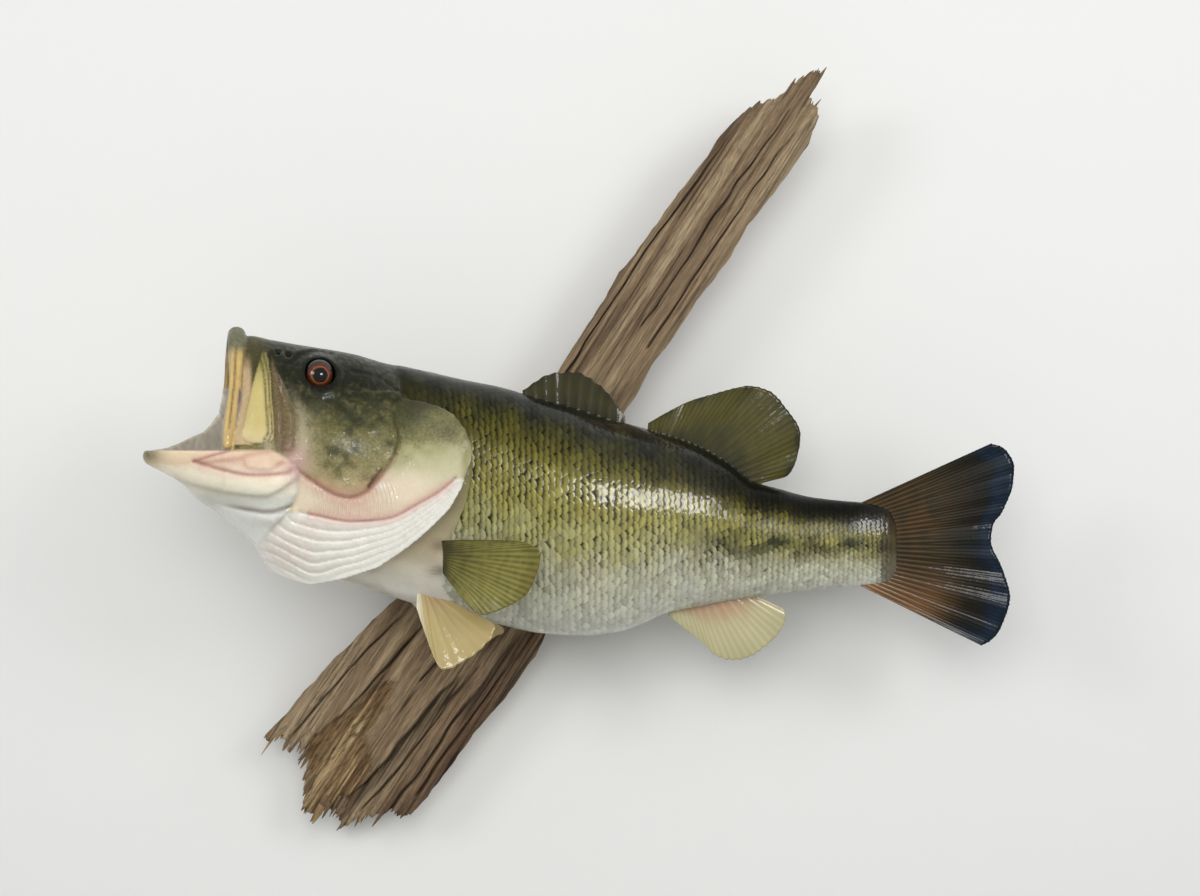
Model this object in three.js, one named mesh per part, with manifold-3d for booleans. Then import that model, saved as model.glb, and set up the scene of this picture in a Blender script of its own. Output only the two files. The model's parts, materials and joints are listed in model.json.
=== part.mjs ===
// A largemouth bass mounted on a driftwood board that hangs on a wall.
// Millimetres, +Z up, origin in the middle of the planed hanging block's back face, wall in the plane Y = 0.
//
// The fish is shaped straight and then bent: s runs along its body towards the tail, t out of its side
// (positive on its left side, away from the wall) and z up. In the straight shape X is s and Y is -t.

import * as THREE from 'three';
import { mergeVertices } from 'three/addons/utils/BufferGeometryUtils.js';
import Module from 'manifold-3d';

const wasm = await Module();
wasm.setup();

// ---------------------------------------------------------------- driving dimensions

const CUT = 0.3;                                // gap that parts neighbouring pieces
const FISH_AT = { x: 44, y: -78, z: 27 };       // place of s = 0, t = 0, z = 0
const HEAD_TURN = { angle: 16, from: -20, over: 100 };
const TAIL_TURN = { angle: 8, from: 120, over: 90 };
const AROUND = 20;                              // corners of a body section
const SHEET = 2.6;                              // thickness of gill cover and membrane
const STALK_FROM = 101;                         // where the tail stalk is parted from the trunk
const NAPE = -133;                              // where the head ends on the back
const FAR = 200;                                // reach of a cutting prism, past every side of the fish
const AHEAD = -400;                             // a station well in front of the snout
const BEHIND = 400;                             // and one well behind the tail
const SPINE_REACH = 340;                        // length of the bent middle line each way from s = 0
const LIP_LEVEL = -1.5;                         // height at which the jaws part
const RIGHT_LIP_END = 21;                       // the lip's right side ends higher
const LIP_CORNERS = 10;                         // corners of the lip's round section
const MAXILLA_RISE = 1.8;                       // how far the maxilla stands out of the cheek
const MAXILLA_SINK = 1;                         // and how deep it lies in it
const EYE = { s: -182.5, z: 44, t: 25.4, radius: 10.3 };

const BOARD_AXIS = new THREE.Vector3(0.545, 0, 0.8384).normalize();     // along the grain, up to the right
const BOARD_ACROSS = new THREE.Vector3(0.8384, 0, -0.545).normalize();  // down to the right
const BOARD_FRONT = { at: 46, rise: 0.054 };    // distance of its face from the wall, growing upwards
const BOARD_THICK = 30;
const BOARD_EASE = 6;                           // how far its long edges are rounded back
const EASE_FROM = 0.4;                          // share of an outer strip's half width where that starts
const STRIP_PITCH = 76;                         // length between two rings of a strip of grain
const STRIP_OVERLAP = 0.8;
const END_TAPER = 16;                           // length over which a strip's broken end thins
const END_BLUNT = 0.3;                          // and the share of its width left at the tip
const END_BACK = 0.7;                           // share of the board's thickness left there

const BLOCK = { long: 104, wide: 54, deep: 22 };
const PLATE = { x: 0, z: 17, wide: 44, high: 18, thick: 1.6, offWall: 0.1 };
const PLATE_SCREW = { inset: 3.6, radius: 1.6, long: 11, holeRadius: 1.9, holeDeep: 12 };
const KEYHOLE = { at: 11, drop: 2, round: 4, slot: 1.9, rise: 7 };
const POCKET = { wide: 32, high: 12, deep: 9, up: 0.5 };    // room behind the keyholes for the nail heads

// Sections of the body: s, top, bottom, half width, height of the widest place, roundness above and below.
const HEAD_HULL = [
  [-238, 60, -40, 37.5, -12, 1.8, 2],
  [-229, 68, -50, 39.5, -14, 1.6, 2],
  [-222, 69.5, -57, 41.5, -18, 1.85, 2],
  [-210, 67.3, -76, 45, -20, 2.05, 1.9],
  [-195, 64.7, -89, 47, -20, 2.15, 2],
  [-180, 62.5, -97, 49, -20, 2.3, 2],
  [-160, 59.3, -106, 50.5, -24, 2.3, 2],
  [-140, 54, -104, 54.5, -29, 2, 2],
  [-133, 52.5, -100, 56, -27, 1.85, 2],
  [-120, 50, -93, 59, -24, 1.75, 2],
  [-105, 45, -76, 62.5, -16, 1.8, 2],
  [-93, 37, -52, 66, -6, 2, 2],
  [-86, 32, -44, 68, -4, 2, 2],
];
const JAW_HULL = [
  [-285.5, -3.5, -5.5, 0.8, -4.5, 2, 2],
  [-284, 6, -7.5, 4, -4.5, 3, 2],
  [-276, 22, -13, 12.5, -5, 5, 1.9],
  [-264, 30, -21, 23, -5, 6, 1.8],
  [-252, 36, -33, 31.5, -6, 6, 1.8],
  [-243, 40, -39, 36, -8, 6, 1.8],
  [-234, 40, -47, 39.5, -11, 6, 1.9],
  [-222, 30, -57, 42.5, -16, 4, 2],
  [-210, 10, -76, 45.5, -20, 2, 1.9],
  [-195, 10, -89, 47.5, -20, 2, 2],
];
const MOUTH = [
  [-281, 30, -4, 2, 0, 4, 2],
  [-276, 34, -7.5, 7.5, 0, 4, 2],
  [-264, 44, -13, 18, 0, 4, 2],
  [-252, 56, -20, 27, 0, 4, 2],
  [-243, 60, -25, 32, 0, 3, 2],
  [-234, 61, -30, 35, 0, 2, 2],
  [-222, 60, -35, 37, -2, 1.9, 2],
  [-210, 50, -36, 38, -4, 2, 2],
  [-195, 36, -36, 35, -5, 2, 2],
  [-180, 24, -33, 30, -6, 2, 2],
  [-165, 13, -29, 23, -8, 2, 2],
  [-150, 3, -24, 14, -10, 2, 2],
  [-143, -6, -16, 4, -11, 2, 2],
];
const TRUNK = [
  [-223, -51, -56, 3, -54, 2, 2],
  [-216, -36, -60, 14, -49, 2, 2],
  [-205, -24, -66, 24, -44, 2, 2],
  [-190, -14, -74, 31, -42, 2, 2],
  [-175, 0, -80, 36, -40, 2, 2],
  [-160, 20, -85, 40, -36, 2, 2],
  [-148, 42, -89, 42.5, -32, 2.2, 2],
  [-133, 52.3, -94.5, 44.5, -28, 2.4, 2],
  [-116, 49.5, -100, 45.5, -27, 2.4, 2],
  [-90, 44, -106.5, 46.5, -28, 2.2, 2],
  [-64, 39, -113.5, 47, -30, 2.1, 2],
  [-38, 31.5, -119, 47, -35, 2, 2.1],
  [-12, 24.5, -120.5, 46, -39, 2, 2.1],
  [10, 17.5, -118.5, 44, -42, 2, 2.1],
  [26, 13.5, -113.5, 41.5, -43, 2, 2],
  [42, 9, -106.5, 38, -45, 2, 2],
  [64, 1.5, -102, 33, -48, 2, 2],
  [84, -10, -98, 28, -52, 2, 2],
  [99, -21.5, -96, 24.5, -57, 2, 2],
  [116, -26.5, -93.5, 21, -59, 2, 2],
  [135, -31.5, -91.5, 17, -61, 2, 2],
  [155, -34, -89.5, 13, -62, 2, 2],
  [172, -35.5, -88, 9.5, -62, 2, 2],
  [186, -40, -86, 5.5, -63, 2, 2],
  [190.5, -48, -79, 2.5, -63, 2, 2],
];

// Lines that part the head, each a row of (s, z) seen from the side.
const CHEEK_EDGE = [
  [-133, 31], [-137, 27], [-139, 16], [-137, 5], [-140, -5], [-150, -19],
  [-158, -27], [-167, -30], [-176, -28], [-186, -22], [-198, -13],
];
const JAW_BACK = [[-198, -13], [-198, -27], [-205, -40], [-216, -54], [-226, -72]];
const MOUTH_RIM = [[-300, LIP_LEVEL], [-240, LIP_LEVEL], [-213, -2], [-206, -6], [-198, -13]];
// On the right the skin between the jaws stands up behind the rim.
const RIGHT_RIM = [
  [-300, -2], [-281, -1.5], [-272, 0], [-264, 3], [-256, 7], [-249, 10], [-244, 15], [-240, 21],
  [-237, LIP_LEVEL],
];
const COVER_LOWER = [[-198, -27], [-187, -40], [-167, -44], [-143, -42], [-126, -33], [-99, -15]];
const COVER_FREE = [[-99, -15], [-94, -11], [-91, -2], [-95, 10], [-102, 21], [-111, 26], [-133, 31]];
const MEMBRANE_FREE = [
  [-226, -72], [-215, -74], [-202, -80], [-188, -84], [-169, -80], [-149, -74], [-131, -61], [-119, -48],
  [-99, -15],
];
const LIP_BACK = [[-225, FAR], [-225.5, 70], [-229, 54], [-231, 29], [-235, 11], [-236, LIP_LEVEL]];
const MAXILLA = [
  [-216, 59], [-221, 44], [-225, 29], [-229, 11], [-228, 5],
  [-222, 3], [-214, 4], [-211, 9], [-212, 29], [-212.5, 45], [-214, 57],
];

// Upper lip: s, z, t of its middle line from the tip of the snout down the left side, and its two radii.
const LIP = [
  [-230.2, 70.2, 0, 5.4, 4.8], [-230.6, 66, 8, 5.2, 3.8], [-231.8, 54, 17, 4.6, 3.2],
  [-233.4, 38, 26, 4.2, 3], [-235.4, 23, 32, 3.8, 3], [-237.6, 10, 35.8, 3.4, 2.8],
  [-238.6, 2, 37.2, 2.8, 2.4],
];

// ---------------------------------------------------------------- curves

// Value at x of the smooth curve through rows of [x, value...], with no overshoot.
function smoothRow(rows, x) {
  const last = rows.length - 2;
  let i = rows.findIndex((row, k) => k <= last && x <= rows[k + 1][0]);
  if (i < 0) i = last;
  const [p0, p1] = [rows[i], rows[i + 1]];
  const before = rows[Math.max(i - 1, 0)];
  const after = rows[Math.min(i + 2, last + 1)];
  const h = p1[0] - p0[0];
  const f = THREE.MathUtils.clamp((x - p0[0]) / h, 0, 1);
  const slope = (a, b, c, k) => {
    const left = (b[k] - a[k]) / ((b[0] - a[0]) || 1);
    const right = (c[k] - b[k]) / ((c[0] - b[0]) || 1);
    return left * right <= 0 ? 0 : (2 * left * right) / (left + right);
  };
  return p0.map((value, k) => {
    if (k === 0) return x;
    const chord = (p1[k] - value) / h;
    const m0 = i === 0 ? chord : slope(before, p0, p1, k);
    const m1 = i === last ? chord : slope(p0, p1, after, k);
    return value * (1 + 2 * f) * (1 - f) ** 2 + p1[k] * f * f * (3 - 2 * f)
      + h * m0 * f * (1 - f) ** 2 + h * m1 * f * f * (f - 1);
  });
}

// ---------------------------------------------------------------- solids in the straight fish

function solid(geometry) {
  const bare = geometry.clone();
  bare.deleteAttribute('normal');
  bare.deleteAttribute('uv');
  const merged = mergeVertices(bare, 1e-4);
  const vertProperties = new Float32Array(merged.attributes.position.array);
  const triVerts = new Uint32Array(merged.index.array);
  if (signedVolume(vertProperties, triVerts) < 0) triVerts.reverse();
  return new wasm.Manifold(new wasm.Mesh({ numProp: 3, vertProperties, triVerts }));
}

function signedVolume(points, triangles) {
  const corner = (k) => new THREE.Vector3().fromArray(points, triangles[k] * 3);
  let volume = 0;
  for (let k = 0; k < triangles.length; k += 3) {
    volume += corner(k).dot(corner(k + 1).cross(corner(k + 2)));
  }
  return volume;
}

function toGeometry(manifold) {
  const mesh = manifold.getMesh();
  const geometry = new THREE.BufferGeometry();
  geometry.setAttribute('position', new THREE.BufferAttribute(new Float32Array(mesh.vertProperties), 3));
  geometry.setIndex(new THREE.BufferAttribute(new Uint32Array(mesh.triVerts), 1));
  return geometry;
}

// A closed solid through rings of points: each ring has the same number of corners.
function skinRings(rings) {
  const points = rings.flat();
  const n = rings[0].length;
  const faces = [];
  for (let i = 0; i + 1 < rings.length; i += 1) {
    for (let j = 0; j < n; j += 1) {
      const [a, b] = [i * n + j, i * n + ((j + 1) % n)];
      faces.push(a, b, b + n, a, b + n, a + n);
    }
  }
  for (const [ring, start] of [[0, 0], [rings.length - 1, (rings.length - 1) * n]]) {
    const middle = new THREE.Vector3();
    rings[ring].forEach((p) => middle.addScaledVector(p, 1 / n));
    points.push(middle);
    for (let j = 0; j < n; j += 1) {
      const [a, b] = [start + j, start + ((j + 1) % n)];
      faces.push(...(ring === 0 ? [points.length - 1, b, a] : [points.length - 1, a, b]));
    }
  }
  const geometry = new THREE.BufferGeometry().setFromPoints(points);
  geometry.setIndex(faces);
  return geometry;
}

function bodyRing(rows, s, grow) {
  const [, top, bottom, wide, wideAt, roundTop, roundBottom] = smoothRow(rows, s);
  return Array.from({ length: AROUND }, (_, k) => {
    const angle = (2 * Math.PI * (k + 0.5)) / AROUND;
    const [c, d] = [Math.cos(angle), Math.sin(angle)];
    const round = d > 0 ? roundTop : roundBottom;
    const reach = d > 0 ? top - wideAt + grow : wideAt - bottom + grow;
    const t = Math.sign(c) * (wide + grow) * Math.abs(c) ** (2 / round);
    return new THREE.Vector3(s, -t, wideAt + Math.sign(d) * reach * Math.abs(d) ** (2 / round));
  });
}

// The solid through body sections, from one station to another, swollen by grow.
function loft(rows, { grow = 0, from = rows[0][0], to = rows.at(-1)[0], pitch = 10 } = {}) {
  const steps = Math.max(1, Math.round((to - from) / pitch));
  const rings = [];
  for (let k = 0; k <= steps; k += 1) rings.push(bodyRing(rows, from + ((to - from) * k) / steps, grow));
  return solid(skinRings(rings));
}

// An outline of (s, z) made a prism from one depth t to another.
function prism(outline, near = FAR, far = -FAR) {
  const shape = new THREE.Shape(outline.map(([s, z]) => new THREE.Vector2(s, z)));
  const geometry = new THREE.ExtrudeGeometry(shape, { depth: near - far, bevelEnabled: false });
  geometry.applyMatrix4(new THREE.Matrix4().makeRotationX(Math.PI / 2));
  geometry.translate(0, -far, 0);
  return solid(geometry);
}

// A thin cut along a line of (s, z), through the whole width.
function kerf(line, width = CUT) {
  const corners = line.map(([s, z]) => new THREE.Vector2(s, z));
  const side = (sign) => corners.map((p, k) => {
    const a = corners[Math.max(k - 1, 0)];
    const b = corners[Math.min(k + 1, corners.length - 1)];
    const along = b.clone().sub(a).normalize();
    return [p.x - (sign * along.y * width) / 2, p.y + (sign * along.x * width) / 2];
  });
  return prism([...side(1), ...side(-1).reverse()]);
}

function join(pieces) {
  return pieces.reduce((a, b) => a.add(b));
}

function cutBy(piece, tools) {
  return tools.reduce((a, b) => a.subtract(b), piece);
}

// Keeps the half of a piece on one side of the fish: 1 is its left, -1 its right.
function half(piece, side) {
  const whole = [[AHEAD, -FAR], [BEHIND, -FAR], [BEHIND, FAR], [AHEAD, FAR]];
  return piece.intersect(side > 0 ? prism(whole, FAR, CUT / 2) : prism(whole, -CUT / 2, -FAR));
}

// ---------------------------------------------------------------- the bend

function turnAt(s) {
  const head = THREE.MathUtils.smoothstep(HEAD_TURN.from - s, 0, HEAD_TURN.over) * HEAD_TURN.angle;
  const tail = THREE.MathUtils.smoothstep(s - TAIL_TURN.from, 0, TAIL_TURN.over) * TAIL_TURN.angle;
  return THREE.MathUtils.degToRad(head - tail);
}

// The bent middle line, one point each millimetre, from s = 0 towards both ends.
const SPINE = (() => {
  const spine = new Map([[0, new THREE.Vector2(FISH_AT.x, FISH_AT.y)]]);
  for (const way of [-1, 1]) {
    for (let k = 1; k <= SPINE_REACH; k += 1) {
      const turn = turnAt(way * (k - 0.5));
      const last = spine.get(way * (k - 1));
      spine.set(way * k, new THREE.Vector2(last.x + way * Math.cos(turn), last.y + way * Math.sin(turn)));
    }
  }
  return spine;
})();

function bendPoint(p) {
  const whole = Math.floor(p.x);
  const middle = SPINE.get(whole).clone().lerp(SPINE.get(whole + 1), p.x - whole);
  const turn = turnAt(p.x);
  return p.set(middle.x - p.y * Math.sin(turn), middle.y + p.y * Math.cos(turn), FISH_AT.z + p.z);
}

function bend(manifold) {
  const geometry = toGeometry(manifold);
  const position = geometry.attributes.position;
  const p = new THREE.Vector3();
  for (let k = 0; k < position.count; k += 1) {
    bendPoint(p.fromBufferAttribute(position, k));
    position.setXYZ(k, p.x, p.y, p.z);
  }
  return geometry;
}

// ---------------------------------------------------------------- the body's pieces

const headRegion = prism([
  [AHEAD, FAR], [NAPE, FAR], ...CHEEK_EDGE, ...MOUTH_RIM.slice().reverse().slice(1), [AHEAD, LIP_LEVEL],
]);
const coverRegion = prism([
  ...CHEEK_EDGE, JAW_BACK[1], ...COVER_LOWER.slice(1), ...COVER_FREE.slice(1, -1),
]);
const membraneRegion = prism([
  ...COVER_LOWER, ...MEMBRANE_FREE.slice().reverse().slice(1), ...JAW_BACK.slice(2, -1).reverse(),
]);
const jawRegion = join([
  prism([...MOUTH_RIM, ...JAW_BACK.slice(1), [-300, -72]]),
  prism([...RIGHT_RIM, [-300, -5]], 0, -FAR),
]);
const napeLine = [[NAPE, FAR], ...CHEEK_EDGE.slice(0, 2)];
const cuts = [CHEEK_EDGE, JAW_BACK, MOUTH_RIM, COVER_LOWER, napeLine].map((line) => kerf(line));

const headHull = loft(HEAD_HULL);
const headShell = headHull.subtract(loft(HEAD_HULL, { grow: -SHEET }));
const mouthSpace = loft(MOUTH);

function eyeBall(side, grow = 0) {
  const ball = new THREE.SphereGeometry(EYE.radius + grow, 12, 8);
  ball.rotateX(Math.PI / 2);
  ball.translate(EYE.s, -side * EYE.t, EYE.z);
  return solid(ball);
}

function maxilla(side) {
  const outline = half(prism(MAXILLA), side);
  const outside = loft(HEAD_HULL, { grow: MAXILLA_RISE });
  return outline.intersect(outside).subtract(loft(HEAD_HULL, { grow: -MAXILLA_SINK }));
}

function maxillaSeat() {
  const room = join([prism(MAXILLA), kerf(MAXILLA, 2 * CUT), kerf([MAXILLA.at(-1), MAXILLA[0]], 2 * CUT)]);
  return room.subtract(loft(HEAD_HULL, { grow: -MAXILLA_SINK - CUT }));
}

function head() {
  const front = prism([[AHEAD, -FAR], [AHEAD, FAR], ...LIP_BACK]);
  const whole = headHull.intersect(headRegion);
  return cutBy(whole, [mouthSpace, front, ...cuts, maxillaSeat(), eyeBall(1, CUT), eyeBall(-1, CUT)]);
}

function upperLip() {
  const right = LIP.slice(1).reverse().map(([s, z, t, a, b]) => [s, z, -t, a, b]);
  const path = [...right, ...LIP];
  const rings = path.map(([s, z, t, fore, deep], k) => {
    const [a, b] = [path[Math.max(k - 1, 0)], path[Math.min(k + 1, path.length - 1)]];
    const along = new THREE.Vector3(b[0] - a[0], -(b[2] - a[2]), b[1] - a[1]).normalize();
    const out = new THREE.Vector3(1, 0, 0).cross(along).normalize();
    return Array.from({ length: LIP_CORNERS }, (_, j) => {
      const angle = (2 * Math.PI * j) / LIP_CORNERS;
      const p = new THREE.Vector3(s + fore * Math.cos(angle), -t, z);
      return p.addScaledVector(out, deep * Math.sin(angle));
    });
  });
  const lip = solid(skinRings(rings));
  const snout = prism([...LIP_BACK.map(([s, z]) => [s - CUT, z]), [NAPE, LIP_LEVEL], [NAPE, FAR]]);
  const under = (level) => [[AHEAD, -FAR], [AHEAD, level], [NAPE, level], [NAPE, -FAR]];
  const below = prism(under(LIP_LEVEL + CUT));
  const belowRight = prism(under(RIGHT_LIP_END), 0, -FAR);
  return cutBy(lip, [snout, below, belowRight, jawRoom()]);
}

// The room of the lower jaw.
function jawRoom() {
  return loft(JAW_HULL, { grow: CUT }).intersect(jawRegion).subtract(mouthSpace);
}

function lowerJaw() {
  const whole = loft(JAW_HULL, { pitch: 7 }).intersect(jawRegion);
  const rimCut = kerf(MOUTH_RIM.slice(2));
  return cutBy(whole, [mouthSpace, kerf(JAW_BACK), rimCut]);
}

const trunkRoom = loft(TRUNK, { grow: CUT, pitch: 16 });

function gillCover(side) {
  return cutBy(half(headShell.intersect(coverRegion), side), [...cuts, trunkRoom]);
}

function gillMembrane(side) {
  return cutBy(half(headShell.intersect(membraneRegion), side), [...cuts, trunkRoom]);
}

function trunkWhole() {
  return cutBy(loft(TRUNK, { pitch: 16 }), [headRegion, jawRegion, mouthSpace, ...cuts]);
}

function trunk() {
  return trunkWhole().intersect(prism([[AHEAD, -FAR], [AHEAD, FAR], [STALK_FROM, FAR], [STALK_FROM, -FAR]]));
}

function tailStalk() {
  const from = STALK_FROM + CUT;
  return trunkWhole().intersect(prism([[from, -FAR], [from, FAR], [BEHIND, FAR], [BEHIND, -FAR]]));
}

// ---------------------------------------------------------------- fins

// A fin between its root line and its margin, each a row of [s, z, t], thinner at the margin.
function fin({ root, margin, thick, rays = 10, steps = 1, lean = [0, 0, 1] }) {
  const toPoint = ([s, z, t = 0]) => new THREE.Vector3(s, -t, z);
  const rootCurve = new THREE.CatmullRomCurve3(root.map(toPoint), false, 'centripetal');
  const marginCurve = new THREE.CatmullRomCurve3(margin.map(toPoint), false, 'centripetal');
  const side = new THREE.Vector3(lean[0], -lean[2], lean[1]).normalize();
  const rings = [];
  for (let i = 0; i <= rays; i += 1) {
    const from = rootCurve.getPoint(i / rays);
    const to = marginCurve.getPointAt(i / rays);
    const line = [];
    for (let j = 0; j <= steps; j += 1) {
      const halfThick = THREE.MathUtils.lerp(thick[0], thick[1], j / steps) / 2;
      line.push([from.clone().lerp(to, j / steps), halfThick]);
    }
    const front = line.map(([p, h]) => p.clone().addScaledVector(side, h));
    const back = line.map(([p, h]) => p.clone().addScaledVector(side, -h));
    rings.push([...front, ...back.reverse()]);
  }
  return solid(skinRings(rings)).subtract(trunkRoom);
}

const FINS = {
  first_dorsal_fin: {
    root: [[-47, 28], [-15, 20], [16, 12]],
    margin: [[-50, 37], [-35, 47], [-23, 49], [-11, 48], [4, 37], [16, 20.5]],
    thick: [3, 1.2],
  },
  second_dorsal_fin: {
    root: [[30, 8], [64, -5], [95, -26]],
    margin: [[31, 16], [43, 23], [57, 30], [73, 35], [88, 39], [99, 40], [111, 36], [120, 26], [128, 14],
      [129, 4], [127, -6], [124, -14], [119, -19], [108, -20]],
    thick: [3, 1.2],
    rays: 14,
  },
  anal_fin: {
    root: [[44, -98], [70, -94], [97, -90]],
    margin: [[44, -108], [64, -124], [75, -134], [86, -137], [98, -134], [109, -126], [117, -117],
      [120, -108], [117, -103], [109, -100], [101, -97]],
    thick: [3, 1.2],
    rays: 12,
  },
  caudal_fin: {
    root: [[166, -38], [183, -50], [185, -62], [183, -76], [168, -87]],
    margin: [[250, 3], [258, 0], [264, -9], [264, -20], [262, -29], [257, -41], [252, -48], [250, -57],
      [251, -64], [256, -74], [260, -85], [262, -95], [260, -104], [256, -115], [250, -123], [244, -126]],
    thick: [4, 1.2],
    rays: 22,
  },
};

function pairedFin(side, { root, margin, lean, ...rest }) {
  const mirror = ([s, z, t]) => [s, z, side * t];
  const turned = [lean[0], lean[1], side * lean[2]];
  return fin({ root: root.map(mirror), margin: margin.map(mirror), lean: turned, ...rest });
}

const PECTORAL_LEFT = {
  root: [[-111, -58, 36], [-110, -68, 33], [-108, -77, 29]],
  margin: [[-94, -56, 50], [-63, -56, 61], [-50, -57, 64], [-40, -60, 66], [-37, -64, 66], [-39, -73, 64],
    [-44, -84, 62], [-52, -92, 60], [-69, -99, 56], [-81, -102, 52], [-90, -98, 46], [-98, -90, 41]],
  lean: [-0.35, 0, 1],
  thick: [3, 1.2],
  rays: 12,
};
// The right pectoral fin lies folded down between the flank and the board.
const PECTORAL_RIGHT = {
  root: [[-111, -66, 33], [-110, -73, 31], [-108, -80, 28]],
  margin: [[-99, -74.6, 35.5], [-84, -86.5, 35.8], [-72, -96.5, 35.5], [-66, -105, 34.5], [-70, -111, 33],
    [-80, -113, 32], [-92, -109, 31.5], [-101, -100.5, 31], [-106, -92, 30.5]],
  lean: [-0.1, 0.3, 1],
  thick: [3, 1.2],
  rays: 12,
};
const PELVIC_LEFT = {
  root: [[-121, -90, 18], [-114, -91, 17], [-108, -92, 15]],
  margin: [[-122, -100, 22], [-117, -117, 28], [-113, -129, 32], [-108, -137, 34], [-100, -136, 34],
    [-91, -132, 33], [-79, -125, 32], [-71, -117, 30], [-71, -110, 27], [-90, -102, 21]],
  lean: [0.2, 0.5, 1],
  thick: [3, 1.2],
  rays: 10,
};
// The right pelvic fin is swept further back.
const PELVIC_RIGHT = {
  root: [[-121, -90, 18], [-114, -91, 17], [-108, -92, 15]],
  margin: [[-118, -100, 22], [-104, -116, 27], [-96, -127, 30], [-88, -131, 31], [-78, -130, 31],
    [-68, -126, 30], [-60, -121, 28], [-66, -115, 24], [-92, -103, 19]],
  lean: [0.2, 0.5, 1],
  thick: [3, 1.2],
  rays: 10,
};

// ---------------------------------------------------------------- the board

// u along the board, left edge and right edge across it.
const BOARD_EDGES = [
  [-280, -62, 50], [-241, -62, 52], [-210, -57, 53], [-187, -54, 54], [-146, -45, 57], [-105, -38, 61],
  [-78, -36, 59], [0, -32, 42], [75, -30, 24], [117, -31, 22], [167, -29, 23], [228, -24, 24], [269, -22, 28],
  [335, -20, 28],
];
// The grain splits the board in strips: where each starts across the width, its two ends, its relief.
const STRIPS = [
  { at: 0, low: -240, high: 279, relief: -3 },
  { at: 0.1, low: -237, high: 262, relief: 0 },
  { at: 0.2, low: -231, high: 297, relief: -1 },
  { at: 0.31, low: -246, high: 306, relief: 1 },
  { at: 0.42, low: -266, high: 326, relief: 0 },
  { at: 0.54, low: -252, high: 333, relief: -2 },
  { at: 0.66, low: -261, high: 318, relief: -4 },
  { at: 0.77, low: -245, high: 314, relief: -1 },
  { at: 0.88, low: -234, high: 306, relief: -3 },
];

function boardPoint(u, v, depth) {
  const p = new THREE.Vector3().addScaledVector(BOARD_AXIS, u).addScaledVector(BOARD_ACROSS, v);
  return p.setY(-depth);
}

function strip({ at, low, high, relief }, next) {
  const straight = high - low - 2 * END_TAPER;
  const steps = Math.round(straight / STRIP_PITCH);
  const body = Array.from({ length: steps + 1 }, (_, k) => low + END_TAPER + (straight * k) / steps);
  const rings = [low, ...body, high].map((u) => {
    const [, left, right] = smoothRow(BOARD_EDGES, u);
    const from = left + at * (right - left) - (at > 0 ? STRIP_OVERLAP : 0);
    const to = left + next * (right - left);
    const tip = u === low || u === high;
    const middle = (from + to) / 2;
    const wide = ((to - from) / 2) * (tip ? END_BLUNT : 1);
    const level = BOARD_FRONT.at + BOARD_FRONT.rise * u;
    const face = level + relief;
    const back = level - BOARD_THICK * (tip ? END_BACK : 1);
    const front = [[-1, at === 0 ? level - BOARD_EASE : face], [1, next === 1 ? level - BOARD_EASE : face]];
    if (at === 0) front.splice(1, 0, [-EASE_FROM, face]);
    if (next === 1) front.splice(1, 0, [EASE_FROM, face]);
    const ring = front.map(([side, depth]) => boardPoint(u, middle + side * wide, depth));
    return [...ring, boardPoint(u, middle + wide, back), boardPoint(u, middle - wide, back)];
  });
  return solid(skinRings(rings));
}

function box(wide, deep, high, x, y, z) {
  return new THREE.BoxGeometry(wide, deep, high).translate(x, y, z);
}

// A round pin or hole across the wall face, from y = 0 inwards.
function acrossWall(radius, deep, x, z, sides = 12) {
  return new THREE.CylinderGeometry(radius, radius, deep, sides).translate(x, -deep / 2, z);
}

function blockSolid(grow = 0) {
  const { long, wide, deep } = BLOCK;
  const plank = new THREE.BoxGeometry(wide + 2 * grow, deep + grow, long + 2 * grow);
  plank.rotateY(Math.atan2(BOARD_AXIS.x, BOARD_AXIS.z));
  return solid(plank.translate(0, -(deep + grow) / 2, 0));
}

function keyholes(deep) {
  const out = deep / 2;
  return [-1, 1].map((side) => {
    const x = PLATE.x + side * KEYHOLE.at;
    const hole = solid(acrossWall(KEYHOLE.round, deep, x, PLATE.z - KEYHOLE.drop).translate(0, out, 0));
    const slot = solid(box(2 * KEYHOLE.slot, deep, KEYHOLE.rise, x, 0, PLATE.z + KEYHOLE.rise / 2 - 1));
    return hole.add(slot);
  });
}

// The x of the screw at one end of the hanger plate.
function screwX(side) {
  return PLATE.x + side * (PLATE.wide / 2 - PLATE_SCREW.inset);
}

function hangingBlock() {
  const { x, z, wide, high, thick } = PLATE;
  const recess = solid(box(wide + 2 * CUT, 2 * (thick + CUT), high + 2 * CUT, x, 0, z));
  const pocket = solid(box(POCKET.wide, 2 * POCKET.deep, POCKET.high, x, 0, z + POCKET.up));
  const screwHoles = [-1, 1].map((side) => (
    solid(acrossWall(PLATE_SCREW.holeRadius, PLATE_SCREW.holeDeep, screwX(side), z))));
  return cutBy(blockSolid(), [recess, pocket, ...screwHoles]);
}

function hangerPlate() {
  const { x, z, wide, high, thick, offWall } = PLATE;
  const plate = solid(box(wide, thick, high, x, -thick / 2 - offWall, z));
  const screwHoles = [-1, 1].map((side) => (
    solid(acrossWall(PLATE_SCREW.radius + CUT, PLATE_SCREW.holeDeep, screwX(side), z))));
  return cutBy(plate, [...keyholes(4 * thick), ...screwHoles]);
}

function plateScrew(side) {
  return solid(acrossWall(PLATE_SCREW.radius, PLATE_SCREW.long, screwX(side), PLATE.z).translate(0, -CUT, 0));
}

function board(fishRoom) {
  const strips = STRIPS.map((one, k) => strip(one, k + 1 < STRIPS.length ? STRIPS[k + 1].at : 1));
  return cutBy(join(strips), [fishRoom, blockSolid(CUT)]);
}

// ---------------------------------------------------------------- materials and the group

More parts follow.
